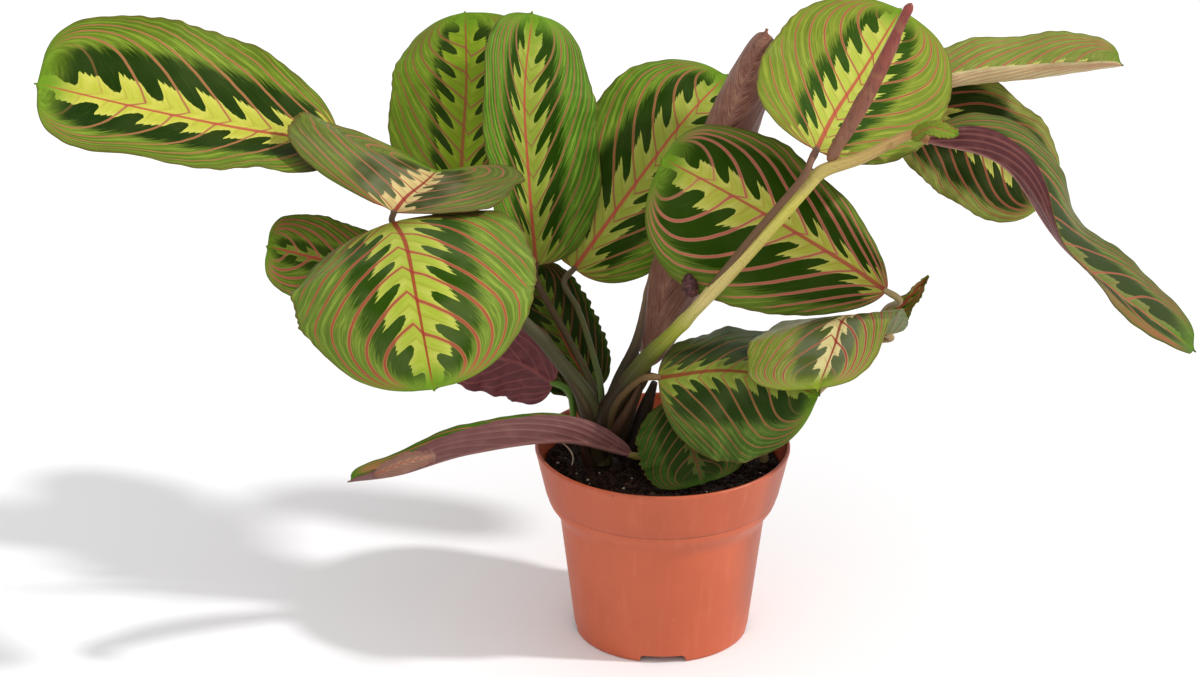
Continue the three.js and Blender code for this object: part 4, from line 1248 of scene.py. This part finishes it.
for k in range(potShape["archCount"]):
    half, top = potShape["archWidth"] / 2, potShape["archHeight"]
    outline = [(-half, -1), (half, -1), (half - 0.5, top * 0.6), (half - 1.0, top * 0.85), (half - 2, top),
               (2 - half, top), (1.0 - half, top * 0.85), (0.5 - half, top * 0.6)]
    turn = 2 * math.pi * k / potShape["archCount"]
    outward = np.array([math.sin(turn), -math.cos(turn), 0])
    along = np.array([math.cos(turn), math.sin(turn), 0])
    rings = [[along * x + outward * reach + np.array([0, 0, z]) for x, z in outline]
             for reach in potShape["archReach"]]
    addCutter("arch%d" % k, [np.array(ring) for ring in rings])
for k in range(potShape["drainCount"]):
    turn = 2 * math.pi * (k + 0.5) / potShape["drainCount"]
    middle = np.array([math.cos(turn), math.sin(turn), 0]) * potShape["drainCircle"]
    rings = [ringAt(potShape["drainRadius"], z, potShape["drainSides"]) + middle
             for z in potShape["drainHeights"]]
    addCutter("drain%d" % k, rings)
potSource = bpy.data.objects.new("potSource", potMesh)
bpy.context.scene.collection.objects.link(potSource)
cut = potSource.modifiers.new("cut", "BOOLEAN")
cut.operation = "DIFFERENCE"
cut.operand_type = "COLLECTION"
cut.collection = cutters
cut.solver = "EXACT"

bench = Bench("pot_plastic")
tone = tones(potLook)
place = bench.place()
x, y, z = bench.parts(place)
cloud = bench.noise(place, 28.0, 4.0, 0.6)
flow = bench.noise(bench.stretched(place, (1.0, 1.0, 0.06)), 260.0, 3.0, 0.6)
grain = bench.noise(place, 2200.0, 2.0, 0.6)
colour = bench.blend(bench.step(cloud, 0.35, 0.7) * 0.35, tone["body"], tone["bodyDark"])
colour = bench.blend(bench.step(flow, 0.5, 0.75) * 0.12, colour, tone["flow"])
scuff = bench.step(bench.noise(place, 420.0, 5.0, 0.75), 0.66, 0.74)
colour = bench.blend(scuff * 0.35, colour, tone["scuff"])
# painted shade: the rim band above the groove is darkened, as it tilts away from the light
colour = bench.blend(bench.step(z, 0.0712, 0.0716) * 0.5, colour, (0.78, 0.72, 0.7), "MULTIPLY")
# painted shade: a thin dark line in the crease at the band's foot
grooveShade = bench.fall(abs(z - potLook["grooveZ"]), 0.0002, 0.0007)
colour = bench.blend(grooveShade * 0.55, colour, (0.5, 0.4, 0.36), "MULTIPLY")
nearRim = bench.step(z, 0.0885, 0.0945)
dirt = bench.step(bench.noise(place, 520.0, 4.0, 0.7), 0.63, 0.70) * (nearRim * 0.8 + 0.05)
radial = bench.add("ShaderNodeVectorMath", {"operation": "LENGTH"}, [bench.vector(x, y, 0.0)], out=1)
# painted shade: the inner wall above the soil is darkened towards the dirt colour; near the rim the same
# colour marks real dirt
inside = bench.step(z * 0.234 + 0.0362 - radial, 0.0, 0.0006) * bench.step(z, 0.07, 0.08)
dirtAndInnerShade = dirt + inside * (bench.step(cloud, 0.42, 0.6) * 0.4 + 0.35)
colour = bench.blend(dirtAndInnerShade.atMost(1.0), colour, tone["dirt"])
rough = (cloud - 0.5) * 0.14 + 0.43 + scuff * 0.15 + dirt * 0.3
height = grain * 0.3 + flow * 0.3 + dirt
potPlastic = bench.finish({"Specular IOR Level": 0.45}, colour, rough, height, 0.00012, 0.4)
settle(potSource, "potShell", potPlastic, "pot")
for cutter in list(cutters.objects):
    bpy.data.objects.remove(cutter)
bpy.data.collections.remove(cutters)
print("pot made")

# Soil: a lumpy top inside the pot, with crumbs, pale grains and a root thread on it
soilShape = {
    "topZ": 84, "topRadius": 55.4, "uneven": 1.2, "lump": 1.0, "rings": 70, "sides": 150,
    "floorZ": 5.8, "floorRadius": 38.4, "floorRings": [1, 3, 6],
    "side": [[39.2, 6.4], [39.9, 8], [46.4, 58.4], [46.8, 60.2], [49.0, 64.2], [52.1, 69.4], [53.1, 72.6],
             [55.3, 82]],
    "stems": [[-30, 1, 7.2], [48, 1, 2.6], [-6, -9, 2.4]], "moundHeight": 1.2, "moundHalf": 3.0,
    "scatterRadius": 53.6, "scatterRings": 40, "scatterSides": 60, "scatterLift": 0.15, "seed": 7,
}


def soilHeight(x, y):
    low = soilShape["uneven"] * np.sin(x / 9 + 1) * np.cos(y / 7 + x / 31)
    lump = np.sin(x * 1.3 + 2 * np.sin(y * 0.7)) * np.sin(y * 1.1 + 2 * np.sin(x * 0.9 + 1))
    lump += 0.6 * np.sin(x * 2.9 + y * 0.8) * np.sin(y * 2.3 - x * 1.7)
    return soilShape["topZ"] + low + soilShape["lump"] * 0.45 * lump


# Rings on the soil's uneven top, count of them, from the edge to the middle
def topRings(radius, count, sides):
    rings = []
    for k in range(count, 0, -1):
        ring = ringAt(radius * (k - 0.5) / count, 0, sides)
        ring[:, 2] = soilHeight(ring[:, 0], ring[:, 1])
        rings.append(ring)
    return rings


sides = soilShape["sides"]
inner = soilShape["floorRings"]
rings = [ringAt(soilShape["floorRadius"] * k / inner[-1], soilShape["floorZ"], sides) for k in inner]
rings += [ringAt(radius, z, sides) for radius, z in soilShape["side"]]
for ring in topRings(soilShape["topRadius"], soilShape["rings"], sides):
    for middleX, middleY, radius in soilShape["stems"]:
        near = np.hypot(ring[:, 0] - middleX, ring[:, 1] - middleY)
        ring[:, 2] += soilShape["moundHeight"] * np.exp(-((near - radius) / soilShape["moundHalf"]) ** 2)
    rings.append(ring)
soilMesh = loftMesh("soilBody", rings)

soilLooks = {
    "potting_soil": {"dark": (20, 12, 8), "pale": (56, 36, 25), "speck": (128, 96, 70), "specks": 0.25},
    "soil_crumb": {"dark": (26, 16, 11), "pale": (76, 50, 34), "speck": (128, 96, 70), "specks": 0.4},
    "pale_grain": {"dark": (150, 140, 120), "pale": (214, 206, 190), "speck": (128, 96, 70), "specks": 0.3},
}


def soilMaterial(name, look):
    bench = Bench(name)
    tone = tones(look)
    place = bench.place()
    coarse = bench.noise(place, 320.0, 5.0, 0.7)
    fine = bench.noise(place, 1500.0, 3.0, 0.7)
    colour = bench.blend(bench.step(coarse, 0.42, 0.70), tone["dark"], tone["pale"])
    colour = bench.blend(bench.step(fine, 0.62, 0.75) * look["specks"], colour, tone["speck"])
    rough = (fine - 0.5) * 0.3 + 0.7
    return bench.finish({"Specular IOR Level": 0.12}, colour, rough, coarse + fine * 0.4, 0.0012, 0.9)


soilPaints = {name: soilMaterial(name, look) for name, look in soilLooks.items()}
makeObject("soilBody", soilMesh, [soilPaints["potting_soil"]], "soil")


# Chunks scattered on a surface; seeded, each turned and sized by chance
def scatterTree(name, seed):
    tree = geometryTree(name, [("Density", "NodeSocketFloat", 1.0), ("Low", "NodeSocketFloat", 0.4),
                               ("High", "NodeSocketFloat", 1.0), ("Size", "NodeSocketFloat", 0.001),
                               ("Detail", "NodeSocketInt", 1), ("Material", "NodeSocketMaterial", None)])
    start = tree.nodes.new("NodeGroupInput").outputs
    spread = geometryNode(tree, "GeometryNodeDistributePointsOnFaces", {"distribute_method": "RANDOM"},
                          {"Mesh": start["Geometry"], "Density": start["Density"], "Seed": seed})
    chunk = geometryNode(tree, "GeometryNodeMeshIcoSphere", None,
                         {"Radius": start["Size"], "Subdivisions": start["Detail"]})
    noise = geometryNode(tree, "ShaderNodeTexNoise", None, {"Scale": 900.0, "Detail": 2.0})
    shift = geometryNode(tree, "ShaderNodeVectorMath", {"operation": "SUBTRACT"},
                         {0: noise.outputs["Color"], 1: (0.5, 0.5, 0.5)})
    amount = geometryNode(tree, "ShaderNodeVectorMath", {"operation": "SCALE"},
                          {0: shift, "Scale": start["Size"]})
    rough = geometryNode(tree, "GeometryNodeSetPosition", None, {"Geometry": chunk, "Offset": amount})
    size = geometryNode(tree, "FunctionNodeRandomValue", {"data_type": "FLOAT"},
                        {2: start["Low"], 3: start["High"], "Seed": seed + 1})
    turn = geometryNode(tree, "FunctionNodeRandomValue", {"data_type": "FLOAT_VECTOR"},
                        {0: (0, 0, 0), 1: (6.28, 6.28, 6.28), "Seed": seed + 2})
    placed = geometryNode(tree, "GeometryNodeInstanceOnPoints", None,
                          {"Points": spread, "Instance": rough, "Rotation": turn, "Scale": size.outputs[1]})
    return endTree(tree, placed, start["Material"])


# Chunks of one kind over the soil's top
def scatter(name, chunk, seed):
    radius = soilShape["scatterRadius"]
    rings = topRings(radius, soilShape["scatterRings"], soilShape["scatterSides"])
    for ring in rings:
        ring[:, 2] += soilShape["scatterLift"]
    source = bpy.data.objects.new(name, loftMesh(name + "Base", rings, caps=False))
    bpy.context.scene.collection.objects.link(source)
    modifier = source.modifiers.new("scatter", "NODES")
    modifier.node_group = scatterTree(name, seed)
    paint = soilPaints[chunk["paint"]]
    setInputs(modifier, {"Density": chunk["count"] / (math.pi * (radius * mm) ** 2), "Low": chunk["low"],
                         "High": chunk["high"], "Size": chunk["size"] * mm, "Detail": chunk["detail"],
                         "Material": paint})
    settle(source, name, paint, "soil")


thread = {"points": [[-47.5, 20.6, 85.5], [-44.1, 9.9, 87.2], [-42.1, 1.7, 86.8], [-42.6, -3.4, 85.0]],
          "radii": [0.3, 0.4, 0.3], "colours": [(206, 184, 146), (226, 208, 176)]}
threadMaterial = stemMaterial("root_thread", thread["colours"], 0.0)
makeTubes("rootThread", [stemPath(thread)], {**stemBuild, "sides": 10}, threadMaterial, "soil")
# How many of each kind, their least and greatest size as shares of a radius, and that radius
chunks = {
    "soilCrumbs": {"count": 2600, "low": 0.35, "high": 1.1, "size": 0.9, "detail": 1, "paint": "soil_crumb"},
    "soilClods": {"count": 160, "low": 0.6, "high": 1.2, "size": 2.0, "detail": 2, "paint": "soil_crumb"},
    "paleGrains": {"count": 46, "low": 0.3, "high": 1.0, "size": 0.9, "detail": 1, "paint": "pale_grain"},
}
for k, (name, chunk) in enumerate(chunks.items()):
    scatter(name, chunk, soilShape["seed"] + 10 * k)
print("soil made")

# Floor and light
floorMesh = bpy.data.meshes.new("floor")
reach = 6.0
floorMesh.from_pydata([(-reach, -reach, 0), (reach, -reach, 0), (reach, reach, 0), (-reach, reach, 0)], [],
                      [(0, 1, 2, 3)])
bench = Bench("pale_floor")
floorPaint = bench.finish({"Specular IOR Level": 0.1}, (0.9, 0.9, 0.9), 0.8)
floor = makeObject("floor", floorMesh, [floorPaint])

# The key light stands to the right of the front, high enough for soft shadows to the left. A weak lamp
# fills in, and the sky is a plain white.
lights = {
    "key": {"kind": "SUN", "at": [1040, -200, 800], "spread": 0.07, "power": 2.3},
    "fill": {"kind": "AREA", "at": [-300, -1300, 1200], "spread": 1.4, "power": 5},
}
for title, light in lights.items():
    data = bpy.data.lights.new(title, light["kind"])
    data.energy = light["power"]
    if light["kind"] == "SUN":
        data.angle = light["spread"]
    else:
        data.size = light["spread"]
    lamp = bpy.data.objects.new(title, data)
    bpy.context.scene.collection.objects.link(lamp)
    lamp.location = Vector(light["at"]) * mm
    lamp.rotation_euler = lamp.location.to_track_quat("Z", "Y").to_euler()
skyStrength = 0.77
world = bpy.data.worlds.new("studio")
world.use_nodes = True
sky = world.node_tree.nodes["Background"].inputs
sky[0].default_value = (1, 1, 1, 1)
sky[1].default_value = skyStrength
bpy.context.scene.world = world
bpy.context.scene.view_settings.view_transform = "Standard"
print("floor and lights made")
